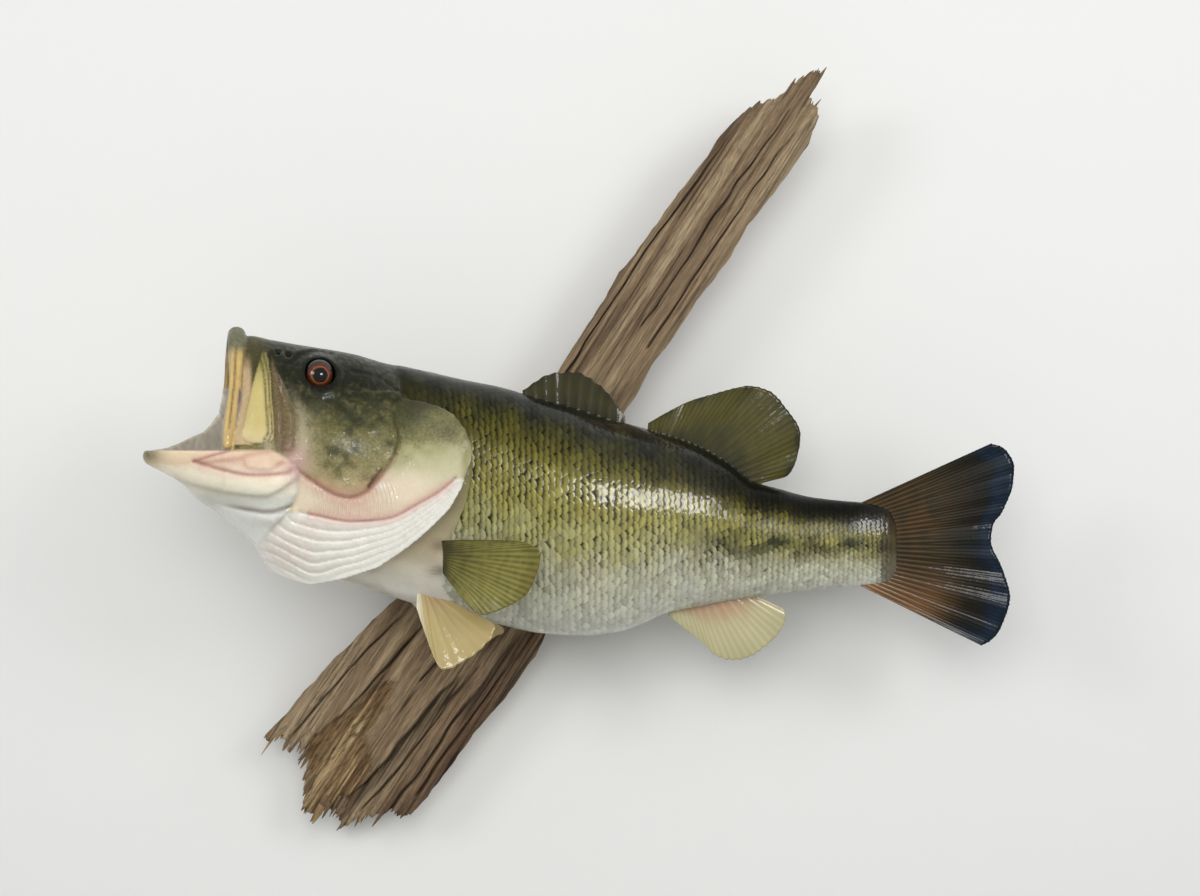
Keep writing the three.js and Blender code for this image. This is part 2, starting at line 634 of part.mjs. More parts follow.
const FINISH = {
  back: { color: 0x4a4c2c, roughness: 0.25 },
  flank: { color: 0x99935f, roughness: 0.28 },
  cream: { color: 0xd6d4c0, roughness: 0.3 },
  lip: { color: 0xd6be8d, roughness: 0.3 },
  fin: { color: 0x5c5a26, roughness: 0.35 },
  paleFin: { color: 0xbfb18a, roughness: 0.35 },
  tail: { color: 0x2c2a16, roughness: 0.3 },
  eye: { color: 0x1a0e08, roughness: 0.05 },
  driftwood: { color: 0x6f5c45, roughness: 0.85 },
  pine: { color: 0xb59a6c, roughness: 0.7 },
  steel: { color: 0xa9abad, roughness: 0.4, metalness: 0.9 },
};

const model = new THREE.Group();

function add(name, geometry, { color, roughness, metalness = 0 }) {
  const mesh = new THREE.Mesh(geometry, new THREE.MeshStandardMaterial({ color, roughness, metalness }));
  mesh.name = name;
  model.add(mesh);
}

function addFish(name, manifold, finish) {
  add(name, bend(manifold), finish);
}

addFish('head', head(), FINISH.back);
addFish('upper_lip', upperLip(), FINISH.lip);
addFish('lower_jaw', lowerJaw(), FINISH.cream);
for (const [name, side] of [['left', 1], ['right', -1]]) {
  addFish(`maxilla_${name}`, maxilla(side), FINISH.lip);
  addFish(`gill_cover_${name}`, gillCover(side), FINISH.cream);
  addFish(`gill_membrane_${name}`, gillMembrane(side), FINISH.cream);
  addFish(`eye_${name}`, eyeBall(side), FINISH.eye);
}
addFish('trunk', trunk(), FINISH.flank);
addFish('tail_stalk', tailStalk(), FINISH.flank);
addFish('first_dorsal_fin', fin(FINS.first_dorsal_fin), FINISH.fin);
addFish('second_dorsal_fin', fin(FINS.second_dorsal_fin), FINISH.fin);
addFish('anal_fin', fin(FINS.anal_fin), FINISH.paleFin);
addFish('caudal_fin', fin(FINS.caudal_fin), FINISH.tail);
addFish('pectoral_fin_left', pairedFin(1, PECTORAL_LEFT), FINISH.fin);
addFish('pectoral_fin_right', pairedFin(-1, PECTORAL_RIGHT), FINISH.fin);
addFish('pelvic_fin_left', pairedFin(1, PELVIC_LEFT), FINISH.paleFin);
addFish('pelvic_fin_right', pairedFin(-1, PELVIC_RIGHT), FINISH.paleFin);

add('driftwood_board', toGeometry(board(solid(bend(trunkRoom)))), FINISH.driftwood);
add('hanging_block', toGeometry(hangingBlock()), FINISH.pine);
add('hanger_plate', toGeometry(hangerPlate()), FINISH.steel);
add('hanger_screw_left', toGeometry(plateScrew(-1)), FINISH.steel);
add('hanger_screw_right', toGeometry(plateScrew(1)), FINISH.steel);

export default model;
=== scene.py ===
import json
import math

import bpy
import mathutils
import numpy as np
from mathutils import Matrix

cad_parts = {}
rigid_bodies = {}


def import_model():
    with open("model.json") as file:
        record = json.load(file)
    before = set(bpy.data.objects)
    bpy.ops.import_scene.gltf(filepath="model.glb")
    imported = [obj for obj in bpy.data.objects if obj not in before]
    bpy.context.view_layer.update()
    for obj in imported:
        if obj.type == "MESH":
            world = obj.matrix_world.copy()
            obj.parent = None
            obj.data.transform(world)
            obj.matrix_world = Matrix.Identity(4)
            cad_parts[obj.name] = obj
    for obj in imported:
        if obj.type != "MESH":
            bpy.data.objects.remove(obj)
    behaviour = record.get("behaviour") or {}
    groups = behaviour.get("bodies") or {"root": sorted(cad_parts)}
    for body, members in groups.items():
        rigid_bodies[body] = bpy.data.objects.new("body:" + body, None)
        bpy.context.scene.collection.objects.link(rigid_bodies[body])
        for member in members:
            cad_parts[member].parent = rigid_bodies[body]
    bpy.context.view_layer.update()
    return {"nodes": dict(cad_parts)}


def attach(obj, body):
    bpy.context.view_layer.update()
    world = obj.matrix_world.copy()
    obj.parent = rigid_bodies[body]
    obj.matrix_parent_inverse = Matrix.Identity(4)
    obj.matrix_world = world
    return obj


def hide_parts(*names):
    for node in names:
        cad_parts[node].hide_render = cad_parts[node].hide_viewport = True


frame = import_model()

import openvdb
from bpy.props import FloatProperty, FloatVectorProperty, IntProperty, PointerProperty

bl_info = {
    "name": "Mounted Largemouth Bass",
    "version": (1, 0, 0),
    "blender": (4, 5, 0),
    "location": "View3D > Sidebar > Bass Mount",
    "description": "Skin, scales, eyes, fins and driftwood of a largemouth bass mounted on a board",
    "category": "Add Mesh",
}

MM = 0.001

# ---------------------------------------------------------------- the fish's own frame
# The fish is shaped straight and then bent, in millimetres: s runs along it towards the tail, y is across
# it (negative on its left side, away from the wall) and z is up. t is the same as y, away from the middle.

FISH_AT = (44.0, -78.0, 27.0)       # where s, y and z are 0, in the room
HEAD_TURN, HEAD_TURN_FROM, HEAD_TURN_OVER = math.radians(16), -20.0, 100.0
TAIL_TURN, TAIL_TURN_FROM, TAIL_TURN_OVER = math.radians(8), 120.0, 90.0
SPINE_REACH = 340       # how far the bent middle line runs both ways

# Sections of the body: s, top, bottom, half width, height of the widest place, roundness above and below.
HEAD_HULL = [
    (-238, 60, -40, 37.5, -12, 1.8, 2), (-229, 68, -50, 39.5, -14, 1.6, 2),
    (-222, 69.5, -57, 41.5, -18, 1.85, 2), (-210, 67.3, -76, 45, -20, 2.05, 1.9),
    (-195, 64.7, -89, 47, -20, 2.15, 2), (-180, 62.5, -97, 49, -20, 2.3, 2),
    (-160, 59.3, -106, 50.5, -24, 2.3, 2), (-140, 54, -104, 54.5, -29, 2, 2),
    (-133, 52.5, -100, 56, -27, 1.85, 2), (-120, 50, -93, 59, -24, 1.75, 2),
    (-105, 45, -76, 62.5, -16, 1.8, 2), (-93, 37, -52, 66, -6, 2, 2), (-86, 32, -44, 68, -4, 2, 2),
]
JAW_HULL = [
    (-286, -3, -7, 1.5, -4.5, 2, 2), (-284, 6, -9.5, 5.5, -4.5, 3, 2), (-276, 22, -14, 12.5, -5, 5, 1.9),
    (-264, 30, -21, 23, -5, 6, 1.8), (-252, 36, -33, 31.5, -6, 6, 1.8), (-243, 40, -39, 36, -8, 6, 1.8),
    (-234, 40, -47, 39.5, -11, 6, 1.9), (-222, 30, -57, 42.5, -16, 4, 2), (-210, 10, -76, 45.5, -20, 2, 1.9),
    (-195, 10, -89, 47.5, -20, 2, 2),
]
MOUTH = [
    (-281, 30, -4, 2, 0, 4, 2), (-276, 34, -7.5, 7.5, 0, 4, 2), (-264, 44, -13, 18, 0, 4, 2),
    (-252, 56, -20, 27, 0, 4, 2), (-243, 60, -25, 32, 0, 3, 2), (-234, 61, -30, 35, 0, 2, 2),
    (-222, 60, -35, 37, -2, 1.9, 2), (-210, 50, -36, 38, -4, 2, 2), (-195, 36, -36, 35, -5, 2, 2),
    (-180, 24, -33, 30, -6, 2, 2), (-165, 13, -29, 23, -8, 2, 2), (-150, 3, -24, 14, -10, 2, 2),
    (-143, -6, -16, 4, -11, 2, 2),
]
TRUNK = [
    (-223, -51, -56, 3, -54, 2, 2), (-216, -36, -60, 14, -49, 2, 2), (-205, -24, -66, 24, -44, 2, 2),
    (-190, -14, -74, 31, -42, 2, 2), (-175, 0, -80, 36, -40, 2, 2), (-160, 20, -85, 40, -36, 2, 2),
    (-148, 42, -89, 41, -32, 2.2, 2), (-133, 52.3, -94.5, 41.5, -28, 2.4, 2),
    (-116, 49.5, -100, 42, -27, 2.4, 2), (-90, 44, -106.5, 43.8, -28, 2.2, 2),
    (-64, 39, -113.5, 46.2, -30, 2.1, 2), (-38, 31.5, -119, 47.2, -35, 2, 2.1),
    (-12, 24.5, -120.5, 46.3, -39, 2, 2.1), (10, 17.5, -118.5, 44, -42, 2, 2.1),
    (26, 13.5, -113.5, 41.5, -43, 2, 2), (42, 9, -106.5, 38, -45, 2, 2), (64, 1.5, -102, 33, -48, 2, 2),
    (84, -10, -98, 28, -52, 2, 2), (99, -21.5, -96, 24.5, -57, 2, 2), (116, -26.5, -93.5, 21, -59, 2, 2),
    (135, -31.5, -91.5, 17, -61, 2, 2), (155, -34, -89.5, 13, -62, 2, 2), (172, -35.5, -88, 9.5, -62, 2, 2),
    (186, -40, -86, 5.5, -63, 2, 2), (190.5, -48, -79, 2.5, -63, 2, 2),
]

# Lines on the side of the head, each a row of (s, z).
CHEEK_EDGE = [
    (-133, 31), (-137, 27), (-139, 16), (-137, 5), (-140, -5), (-150, -19), (-158, -27), (-167, -30),
    (-176, -28), (-186, -22), (-198, -13),
]
JAW_BACK = [(-198, -13), (-198, -27), (-205, -40), (-216, -54), (-226, -72)]
MOUTH_RIM = [(-300, -1.5), (-240, -1.5), (-213, -2), (-206, -6), (-198, -13)]
RIGHT_RIM = [(-300, -2), (-281, -1.5), (-272, 0), (-264, 3), (-256, 7), (-249, 10), (-244, 15), (-240, 21)]
COVER_FREE = [(-133, 31), (-121, 29), (-111, 26), (-102, 21), (-95, 10), (-91, -2), (-93, -9), (-95, -13)]
MEMBRANE_FREE = [
    (-95, -13), (-99, -24), (-107, -37), (-119, -49), (-131, -60), (-149, -73), (-169, -80), (-188, -84),
    (-202, -80), (-215, -74), (-226, -72),
]
LIP_BACK = [(-225, 90), (-225.5, 70), (-229, 54), (-231, 29), (-235, 11), (-236, -1.5)]
MAXILLA = [
    (-216, 59), (-221, 44), (-225, 29), (-229, 11), (-228, 5), (-222, 3), (-214, 4), (-211, 9), (-212, 29),
    (-212.5, 45), (-214, 57),
]
OPERCLE_LINE = [(-196, -38), (-187, -40), (-167, -44), (-143, -42), (-126, -33), (-114, -26), (-104, -18)]
JAW_ROLLS = {
    "roll_high": [(-253, -9.5), (-233, -7), (-224, -3.5), (-212, -1.6)],
    "roll_low": [(-229, -7.5), (-227, -12), (-215, -13.5), (-207, -9)],
}
POCKET_RIM = [(-211, 57), (-208, 47), (-204, 38), (-201, 29), (-198, 20), (-198, 11), (-198, 2), (-201, -4)]
DARK_LINE = [(-163, 47), (-146, 43), (-134, 34), (-111, 28), (-101, 23)]

# Upper lip: s, z, t of its middle line from the tip of the snout down the side, and its two radii.
LIP = [
    (-230.2, 70.2, 0, 5.4, 4.8), (-230.6, 66, 8, 5.2, 3.8), (-231.8, 54, 17, 4.6, 3.2),
    (-233.4, 38, 26, 4.2, 3), (-235.4, 23, 32, 3.8, 3), (-237.6, 10, 35.8, 3.4, 2.8),
    (-238.6, 2, 37.2, 2.8, 2.4),
]
EYE = {"s": -182.5, "z": 44.0, "t": 25.4, "radius": 10.3}
RIGHT_LIP_END = 21      # height at which the lip ends on the right side
LINING_DEPTH = 2.4      # how thick the flesh is outside the mouth


# ---------------------------------------------------------------- curves and fields

def rows_at(rows, x):
    """The smooth curve through rows of (x, value...), without overshoot, at the values x."""
    table = np.array(rows, float)
    knots, values = table[:, 0], table[:, 1:]
    gap = np.diff(knots)
    chord = np.diff(values, axis=0) / gap[:, None]
    product = chord[:-1] * chord[1:]
    total = np.where(product > 0, chord[:-1] + chord[1:], 1)
    inner = np.where(product > 0, 2 * product / total, 0)
    slope = np.vstack([chord[:1], inner, chord[-1:]])
    x = np.clip(x, knots[0], knots[-1])
    i = np.clip(np.searchsorted(knots, x) - 1, 0, len(gap) - 1)
    f = ((x - knots[i]) / gap[i])[..., None]
    h = gap[i][..., None]
    return (values[i] * (1 + 2 * f) * (1 - f) ** 2 + values[i + 1] * f * f * (3 - 2 * f)
            + h * slope[i] * f * (1 - f) ** 2 + h * slope[i + 1] * f * f * (f - 1))


def straight_rows(rows, x):
    """The straight lines through rows of (x, value), at the values x."""
    return np.interp(x, *np.array(rows, float).T)


def flowing(points, per=6):
    """A smooth curve through points, as a row of points."""
    p = np.array(points, float)
    ends = np.vstack([2 * p[0] - p[1], p, 2 * p[-1] - p[-2]])
    f = np.arange(per)[:, None] / per
    row = []
    for a, b, c, d in zip(ends, ends[1:], ends[2:], ends[3:]):
        row.append(0.5 * (2 * b + (c - a) * f + (2 * a - 5 * b + 4 * c - d) * f ** 2
                          + (3 * b - a - 3 * c + d) * f ** 3))
    return np.vstack(row + [p[-1:]])


def line_distance(line, s, z):
    """Distance to a row of points in the side view, and how far along the row the nearest is, 0 to 1."""
    line = np.asarray(line, float)
    best = np.full(np.shape(s), np.inf)
    where = np.zeros(np.shape(s))
    count = len(line) - 1
    for k, ((a, b), (c, d)) in enumerate(zip(line[:-1], line[1:])):
        u, v = c - a, d - b
        f = np.clip(((s - a) * u + (z - b) * v) / max(u * u + v * v, 1e-9), 0, 1)
        far = np.hypot(s - a - f * u, z - b - f * v)
        near = far < best
        best = np.where(near, far, best)
        where = np.where(near, (k + f) / count, where)
    return best, where


def outline_distance(outline, s, z):
    """Distance to a closed outline in the side view, negative inside."""
    line = np.vstack([outline, outline[:1]])
    inside = np.zeros(np.shape(s), bool)
    for (a, b), (c, d) in zip(line[:-1], line[1:]):
        if b != d:
            crosses = ((b > z) != (d > z)) & (s < (c - a) * (z - b) / (d - b) + a)
            inside ^= crosses
    return np.where(inside, -1, 1) * line_distance(line, s, z)[0]


def smooth_step(x, low, high):
    """A smooth rise from 0 at low to 1 at high."""
    f = np.clip((x - low) / (high - low), 0, 1)
    return f * f * (3 - 2 * f)


def bump(x, width):
    """A smooth hill, 1 at x = 0 and 0.37 at width."""
    return np.exp(-(x / width) ** 2)


def smooth_max(a, b, k):
    """The larger of a and b, rounded over k where they are alike."""
    h = np.clip(0.5 + (a - b) / (2 * k), 0, 1)
    return b + (a - b) * h + k * h * (1 - h)


def smooth_min(a, b, k):
    """The smaller of a and b, rounded over k where they are alike."""
    return -smooth_max(-a, -b, k)


def hull(rows, s, y, z):
    """Distance to the solid through body sections, negative inside."""
    top, bottom, wide, at, up, down = np.moveaxis(rows_at(rows, s).astype(np.float32), -1, 0)
    above = z > at
    n = np.where(above, up, down)
    reach = np.where(above, top - at, at - bottom)
    radial = ((np.abs(y) / wide) ** n + (np.abs(z - at) / reach) ** n) ** (1 / n)
    shell = np.maximum(np.hypot(y, z - at), 0.05) * (1 - 1 / np.maximum(radial, 1e-3))
    return np.maximum(shell, np.maximum(rows[0][0] - s, s - rows[-1][0]))


def turn_at(s):
    """How far the fish's middle line is turned at s."""
    return (smooth_step(HEAD_TURN_FROM - s, 0, HEAD_TURN_OVER) * HEAD_TURN
            - smooth_step(s - TAIL_TURN_FROM, 0, TAIL_TURN_OVER) * TAIL_TURN)


def make_spine():
    """The bent middle line: stations, and their places x and y in the room."""
    stations = np.arange(-SPINE_REACH, SPINE_REACH + 1, dtype=float)
    turn = turn_at(stations[:-1] + 0.5)
    x = np.concatenate([[0], np.cumsum(np.cos(turn))])
    y = np.concatenate([[0], np.cumsum(np.sin(turn))])
    return stations, x - x[SPINE_REACH] + FISH_AT[0], y - y[SPINE_REACH] + FISH_AT[1]


SPINE = make_spine()


def bend(points):
    """Straight fish points in millimetres to places in the row frame in metres."""
    s, y, z = points[..., 0], points[..., 1], points[..., 2]
    turn = turn_at(s)
    x0, y0 = np.interp(s, SPINE[0], SPINE[1]), np.interp(s, SPINE[0], SPINE[2])
    return np.stack([x0 - y * np.sin(turn), y0 + y * np.cos(turn), z + FISH_AT[2]], -1) * MM


# ---------------------------------------------------------------- meshes

def only(obj):
    """Makes obj the one selected and active object."""
    bpy.ops.object.select_all(action="DESELECT")
    obj.select_set(True)
    bpy.context.view_layer.objects.active = obj


def new_mesh(name, points, faces):
    """A new object from points in metres and faces."""
    mesh = bpy.data.meshes.new(name)
    mesh.from_pydata(points.tolist(), [], faces.tolist() if hasattr(faces, "tolist") else faces)
    mesh.update()
    obj = bpy.data.objects.new(name, mesh)
    bpy.context.scene.collection.objects.link(obj)
    return obj


def keep_largest(obj):
    """Deletes the crumbs that come loose from a mesh's main body."""
    only(obj)
    bpy.ops.object.mode_set(mode="EDIT")
    bpy.ops.mesh.select_all(action="DESELECT")
    bpy.ops.object.mode_set(mode="OBJECT")
    obj.data.vertices[0].select = True
    bpy.ops.object.mode_set(mode="EDIT")
    bpy.ops.mesh.select_linked()
    bpy.ops.mesh.select_all(action="INVERT")
    bpy.ops.mesh.delete(type="VERT")
    bpy.ops.object.mode_set(mode="OBJECT")


def points_of(obj):
    """The object's points, one row each."""
    flat = np.zeros(len(obj.data.vertices) * 3, np.float32)
    obj.data.vertices.foreach_get("co", flat)
    return flat.reshape(-1, 3).astype(float)


def move_points(obj, points):
    """Puts the object's points somewhere else."""
    obj.data.vertices.foreach_set("co", np.asarray(points, np.float32).ravel())
    obj.data.update()


def paint_points(obj, colour):
    """Gives every point its colour, as the attribute that the finishes read."""
    layer = obj.data.color_attributes.new("paint", "FLOAT_COLOR", "POINT")
    rgba = np.ones((len(colour), 4), np.float32)
    rgba[:, :3] = colour
    layer.data.foreach_set("color", rgba.ravel())


def mark_points(obj, name, values):
    """Gives every point a number."""
    layer = obj.data.attributes.new(name, "FLOAT", "POINT")
    layer.data.foreach_set("value", np.asarray(values, np.float32))


def turn_outwards(obj):
    """Makes all faces of a closed mesh point outwards."""
    only(obj)
    bpy.ops.object.mode_set(mode="EDIT")
    bpy.ops.mesh.select_all(action="SELECT")
    bpy.ops.mesh.normals_make_consistent(inside=False)
    bpy.ops.object.mode_set(mode="OBJECT")


def thin_out(obj, share):
    """Leaves the object this share of its triangles."""
    only(obj)
    modifier = obj.modifiers.new("Decimate", "DECIMATE")
    modifier.ratio = share
    bpy.ops.object.modifier_apply(modifier=modifier.name)


def settle(obj, material, slot, *nodes, edge=180):
    """Shades a finished piece, smooth up to edges of so many degrees, gives it its finish and ride."""
    only(obj)
    bpy.ops.object.shade_smooth_by_angle(angle=math.radians(edge))
    obj.data.materials.clear()
    obj.data.materials.append(material)
    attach(obj, "root")
    if nodes:
        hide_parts(*nodes)


def tint(*rgb):
    """Linear colour from a display colour with parts from 0 to 255."""
    c = np.array(rgb, float) / 255
    return np.where(c <= 0.04045, c / 12.92, ((c + 0.055) / 1.055) ** 2.4)


def tones(*rows):
    """Rows of a place and a display colour, made rows of the place and the linear colour."""
    return [(row[0], *tint(*row[1:])) for row in rows]


def lay_over(colour, mask, over):
    """Paints the colour over, where mask is 1."""
    mask = np.clip(mask, 0, 1)[:, None]
    return colour * (1 - mask) + np.asarray(over) * mask


def ripple(p, scale, seed):
    """Smooth irregular waves between about -1 and 1, from sines in fixed directions."""
    rng = np.random.default_rng(seed)
    total = np.zeros(len(p))
    for _ in range(7):
        way = rng.normal(size=3)
        way /= np.linalg.norm(way)
        total += np.sin(p @ way * (2 * math.pi / (scale * rng.uniform(0.7, 1.5))) + rng.uniform(0, 6.28))
    return total / 3.2


# ---------------------------------------------------------------- the skin's shape

HEAD_TOP = [(-400, 200), (-133, 200)]
COVER_AND_FLAP = HEAD_TOP + COVER_FREE + MEMBRANE_FREE[1:] + [JAW_BACK[-2], (-213, -50), (-300, -50)]
SOLID_HEAD = HEAD_TOP + CHEEK_EDGE + JAW_BACK[1:] + [(-300, -72)]
POCKET = POCKET_RIM + [(-208, -3), (-212, 4), (-212, 29), (-212.5, 45)]
CHEEK_LINE = [(-139, 22)] + CHEEK_EDGE[2:]
JAW_GROOVE_LOW = [(-257, -8), (-241, -13), (-225, -16), (-206, -15), (-201, -13)]
JAW_GROOVE_HIGH = [(-257, -8), (-245, -4), (-232, 0), (-218, 2), (-212, 3)]
LIP_BAND_LOW = [(-279, -12), (-273, -16), (-262, -21), (-239, -27), (-215, -29), (-197, -18)]
JAW_FOLD = [(-246, -33), (-237, -35), (-225, -37), (-212, -38), (-194, -32)]
# The bare plate of the shoulder and the breast, where no scales show.
BARE_SHOULDER = [
    (-92, -4), (-88, -15), (-94, -36), (-103, -54), (-106, -70), (-105, -84), (-92, -104), (-72, -125),
    (-240, -125), (-240, -4),
]
NOSTRILS = [(-207, 58, 1.6), (-200.5, 56.5, 1.9)]
BROW_GROOVE = [(-200, 51), (-194, 56), (-184, 59.5), (-174, 58)]
BROW = [(-203, 53), (-195, 59), (-184, 62)]
SNOUT_FRONT = [(-225, 200)] + LIP_BACK[1:] + [(-300, -5), (-300, -130), (-80, -130), (-80, 200)]
UNDER_JAW = JAW_BACK[1:] + [(-205, -90), (-300, -90)]
LEFT_JAW = MOUTH_RIM + UNDER_JAW
RIGHT_JAW = RIGHT_RIM + [(-226, 21), (-213, -2), (-206, -6), (-198, -13)] + UNDER_JAW

# The grid that the skin is cut from: fine over the head, up to BODY_FROM, and coarser along the trunk.
GRID_FROM, BODY_FROM, GRID_TO = -290, -84, 197
GRID_HALF_WIDTH, GRID_LOW, GRID_HIGH = 73, -124, 92
BODY_CELL = 2.4         # in cells of the head
FIELD_REACH = 3.0       # distances are kept up to this far from the surface


def side_lines(s, z):
    """What the lines on the side of the head give at places of the side view: distances in millimetres."""
    drawn = {"cheek": CHEEK_LINE, "opercle": OPERCLE_LINE, "free": MEMBRANE_FREE, "dark": DARK_LINE,
             "groove_low": JAW_GROOVE_LOW, "groove_high": JAW_GROOVE_HIGH, "band_low": LIP_BAND_LOW,
             **JAW_ROLLS}
    lines = {name: line_distance(flowing(points), s, z)[0] for name, points in drawn.items()}
    lines["cheek_in"] = -outline_distance(np.array(SOLID_HEAD), s, z)
    lines["pocket_in"] = -outline_distance(flowing(POCKET + POCKET[:1]), s, z)
    lines["band_above"] = z - straight_rows(LIP_BAND_LOW, s)
    lines["fold"], lines["fold_along"] = line_distance(flowing(JAW_FOLD), s, z)
    lines["fold_above"] = z - straight_rows(JAW_FOLD, s)
    lines["eye"] = np.hypot(s - EYE["s"], z - EYE["z"] - 0.5)
    below = z - straight_rows(OPERCLE_LINE, s)
    lines["membrane"] = smooth_step(-below, -0.5, 1.5) * (s > -222)
    sweep = lines["opercle"] / np.maximum(lines["opercle"] + lines["free"], 1e-3)
    lines["pleat"] = sweep ** 1.12 * (6.6 + 0.3 * np.sin(s / 9) + 0.12 * np.sin(s / 4.7 + z / 6))
    return lines


def relief(s, z):
    """How far the head's side stands out of its plain sections, in millimetres."""
    m = side_lines(s, z)
    on_head = smooth_step(-110 - s, -12, 6)
    out = 1.3 * smooth_step(m["cheek_in"], -1, 1.5) * bump(np.maximum(m["cheek_in"], 0), 22) * (z < 35)
    out -= 1.5 * bump(m["cheek"], 1.6)
    out += 2.8 * bump(np.hypot(s + 172, (z - 2) * 1.1), 19)
    out -= 3.2 * smooth_step(m["pocket_in"], -0.6, 4.5)
    out += 0.6 * bump(m["pocket_in"] + 3.5, 2.6)
    out -= 0.9 * bump(m["opercle"], 1.1) * (s > -200)
    # The flap's pleats run back from the throat and close up under the opercle's end.
    saw = m["pleat"] - np.floor(m["pleat"])
    pleat = m["membrane"] * (1.9 * (1 - saw) ** 1.2 * smooth_step(saw, 0, 0.25) - 1.2)
    pleat = pleat * smooth_step(s, -222, -200) * (0.15 + 0.85 * smooth_step(m["free"], 1, 7))
    out += pleat * (1 - 0.6 * smooth_step(s, -172, -138))
    out += 0.7 * m["membrane"] * bump(m["free"], 1.6)
    # Skin round the eye.
    out += 1.5 * bump(m["eye"] - 11.2, 2.2) * on_head
    out -= 1.1 * bump(line_distance(flowing(BROW_GROOVE), s, z)[0], 1.2)
    out += 0.8 * bump(line_distance(flowing(BROW), s, z)[0], 2)
    for at_s, at_z, size in NOSTRILS:
        away = np.hypot(s - at_s, z - at_z)
        out += 0.8 * bump(away - size - 0.8, 0.9) - 2.4 * bump(away, size)
    # The lower jaw's side: two grooves, the roll between them, the lip band and the fold under it.
    jaw = smooth_step(-200 - s, -4, 4) * (z < 6)
    out -= jaw * (1.1 * bump(m["groove_low"], 1.1) + 0.8 * bump(m["groove_high"], 1.1))
    out += jaw * 1.3 * bump(np.hypot((s + 228) / 2.6, z + 7), 6)
    out -= jaw * (0.9 * bump(m["roll_high"], 1.1) + 0.8 * bump(m["roll_low"], 1.1))
    lip_band = jaw * 1.2 * smooth_step(m["band_above"], -1.2, 1.2) * (z < -1)
    out += lip_band - jaw * 0.5 * bump(m["band_low"], 1.2)
    out -= jaw * 1.9 * bump(m["fold"], 1.5) * smooth_step(m["fold_along"], 0, 0.25)
    out += jaw * 1.3 * bump(m["fold_above"] + 5, 3.5) * bump(s + 212, 20)
    out -= 0.5 * bump(m["dark"], 1.2)
    # Low waves, so that no stretch of skin is quite even.
    broad = 0.3 * np.sin(s / 7.3 + 1.1 * np.sin(z / 9)) * np.sin(z / 6.1 + 0.8 * np.sin(s / 11))
    out += broad * on_head * (1 - 0.8 * m["membrane"])
    fine = 0.16 * np.sin(s / 2.9 + 1.3 * np.sin(z / 5)) * np.sin(z / 2.6 + 1.1 * np.sin(s / 4))
    out += fine * on_head * (z < 30) * (1 - m["membrane"])
    return out * smooth_step(s, -284, -276)


def lip_field(s, y, z):
    """Distance to the rolled upper lip, a chain of tapering rods with two radii."""
    left = flowing([(at, t, height, fore, deep) for at, height, t, fore, deep in LIP], 4)
    right = left[left[:, 2] > RIGHT_LIP_END]
    best = np.full(np.broadcast_shapes(s.shape, y.shape, z.shape), 1e3, np.float32)
    for chain, side in ((left, -1), (right, 1)):
        for (s0, t0, z0, a0, b0), (s1, t1, z1, a1, b1) in zip(chain[:-1], chain[1:]):
            d = np.array((s1 - s0, side * (t1 - t0), z1 - z0))
            f = np.clip(((s - s0) * d[0] + (y - side * t0) * d[1] + (z - z0) * d[2]) / (d @ d), 0, 1)
            fore, deep = a0 + (a1 - a0) * f, b0 + (b1 - b0) * f
            gap = s - s0 - f * d[0], y - side * t0 - f * d[1], z - z0 - f * d[2]
            squash = np.sqrt((gap[0] / fore) ** 2 + (gap[1] ** 2 + gap[2] ** 2) / deep ** 2)
            best = np.minimum(best, (squash - 1) * np.minimum(fore, deep))
    return best


def block(axes, *ranges):
    """The part of a grid between ranges of its axes: the slices and the columns cut to them."""
    cut = []
    for axis, (low, high) in zip(axes, ranges):
        flat = axis.ravel()
        cut.append(slice(int(np.searchsorted(flat, low)), int(np.searchsorted(flat, high))))
    columns = axes[0][cut[0]], axes[1][:, cut[1]], axes[2][:, :, cut[2]]
    return tuple(cut), columns


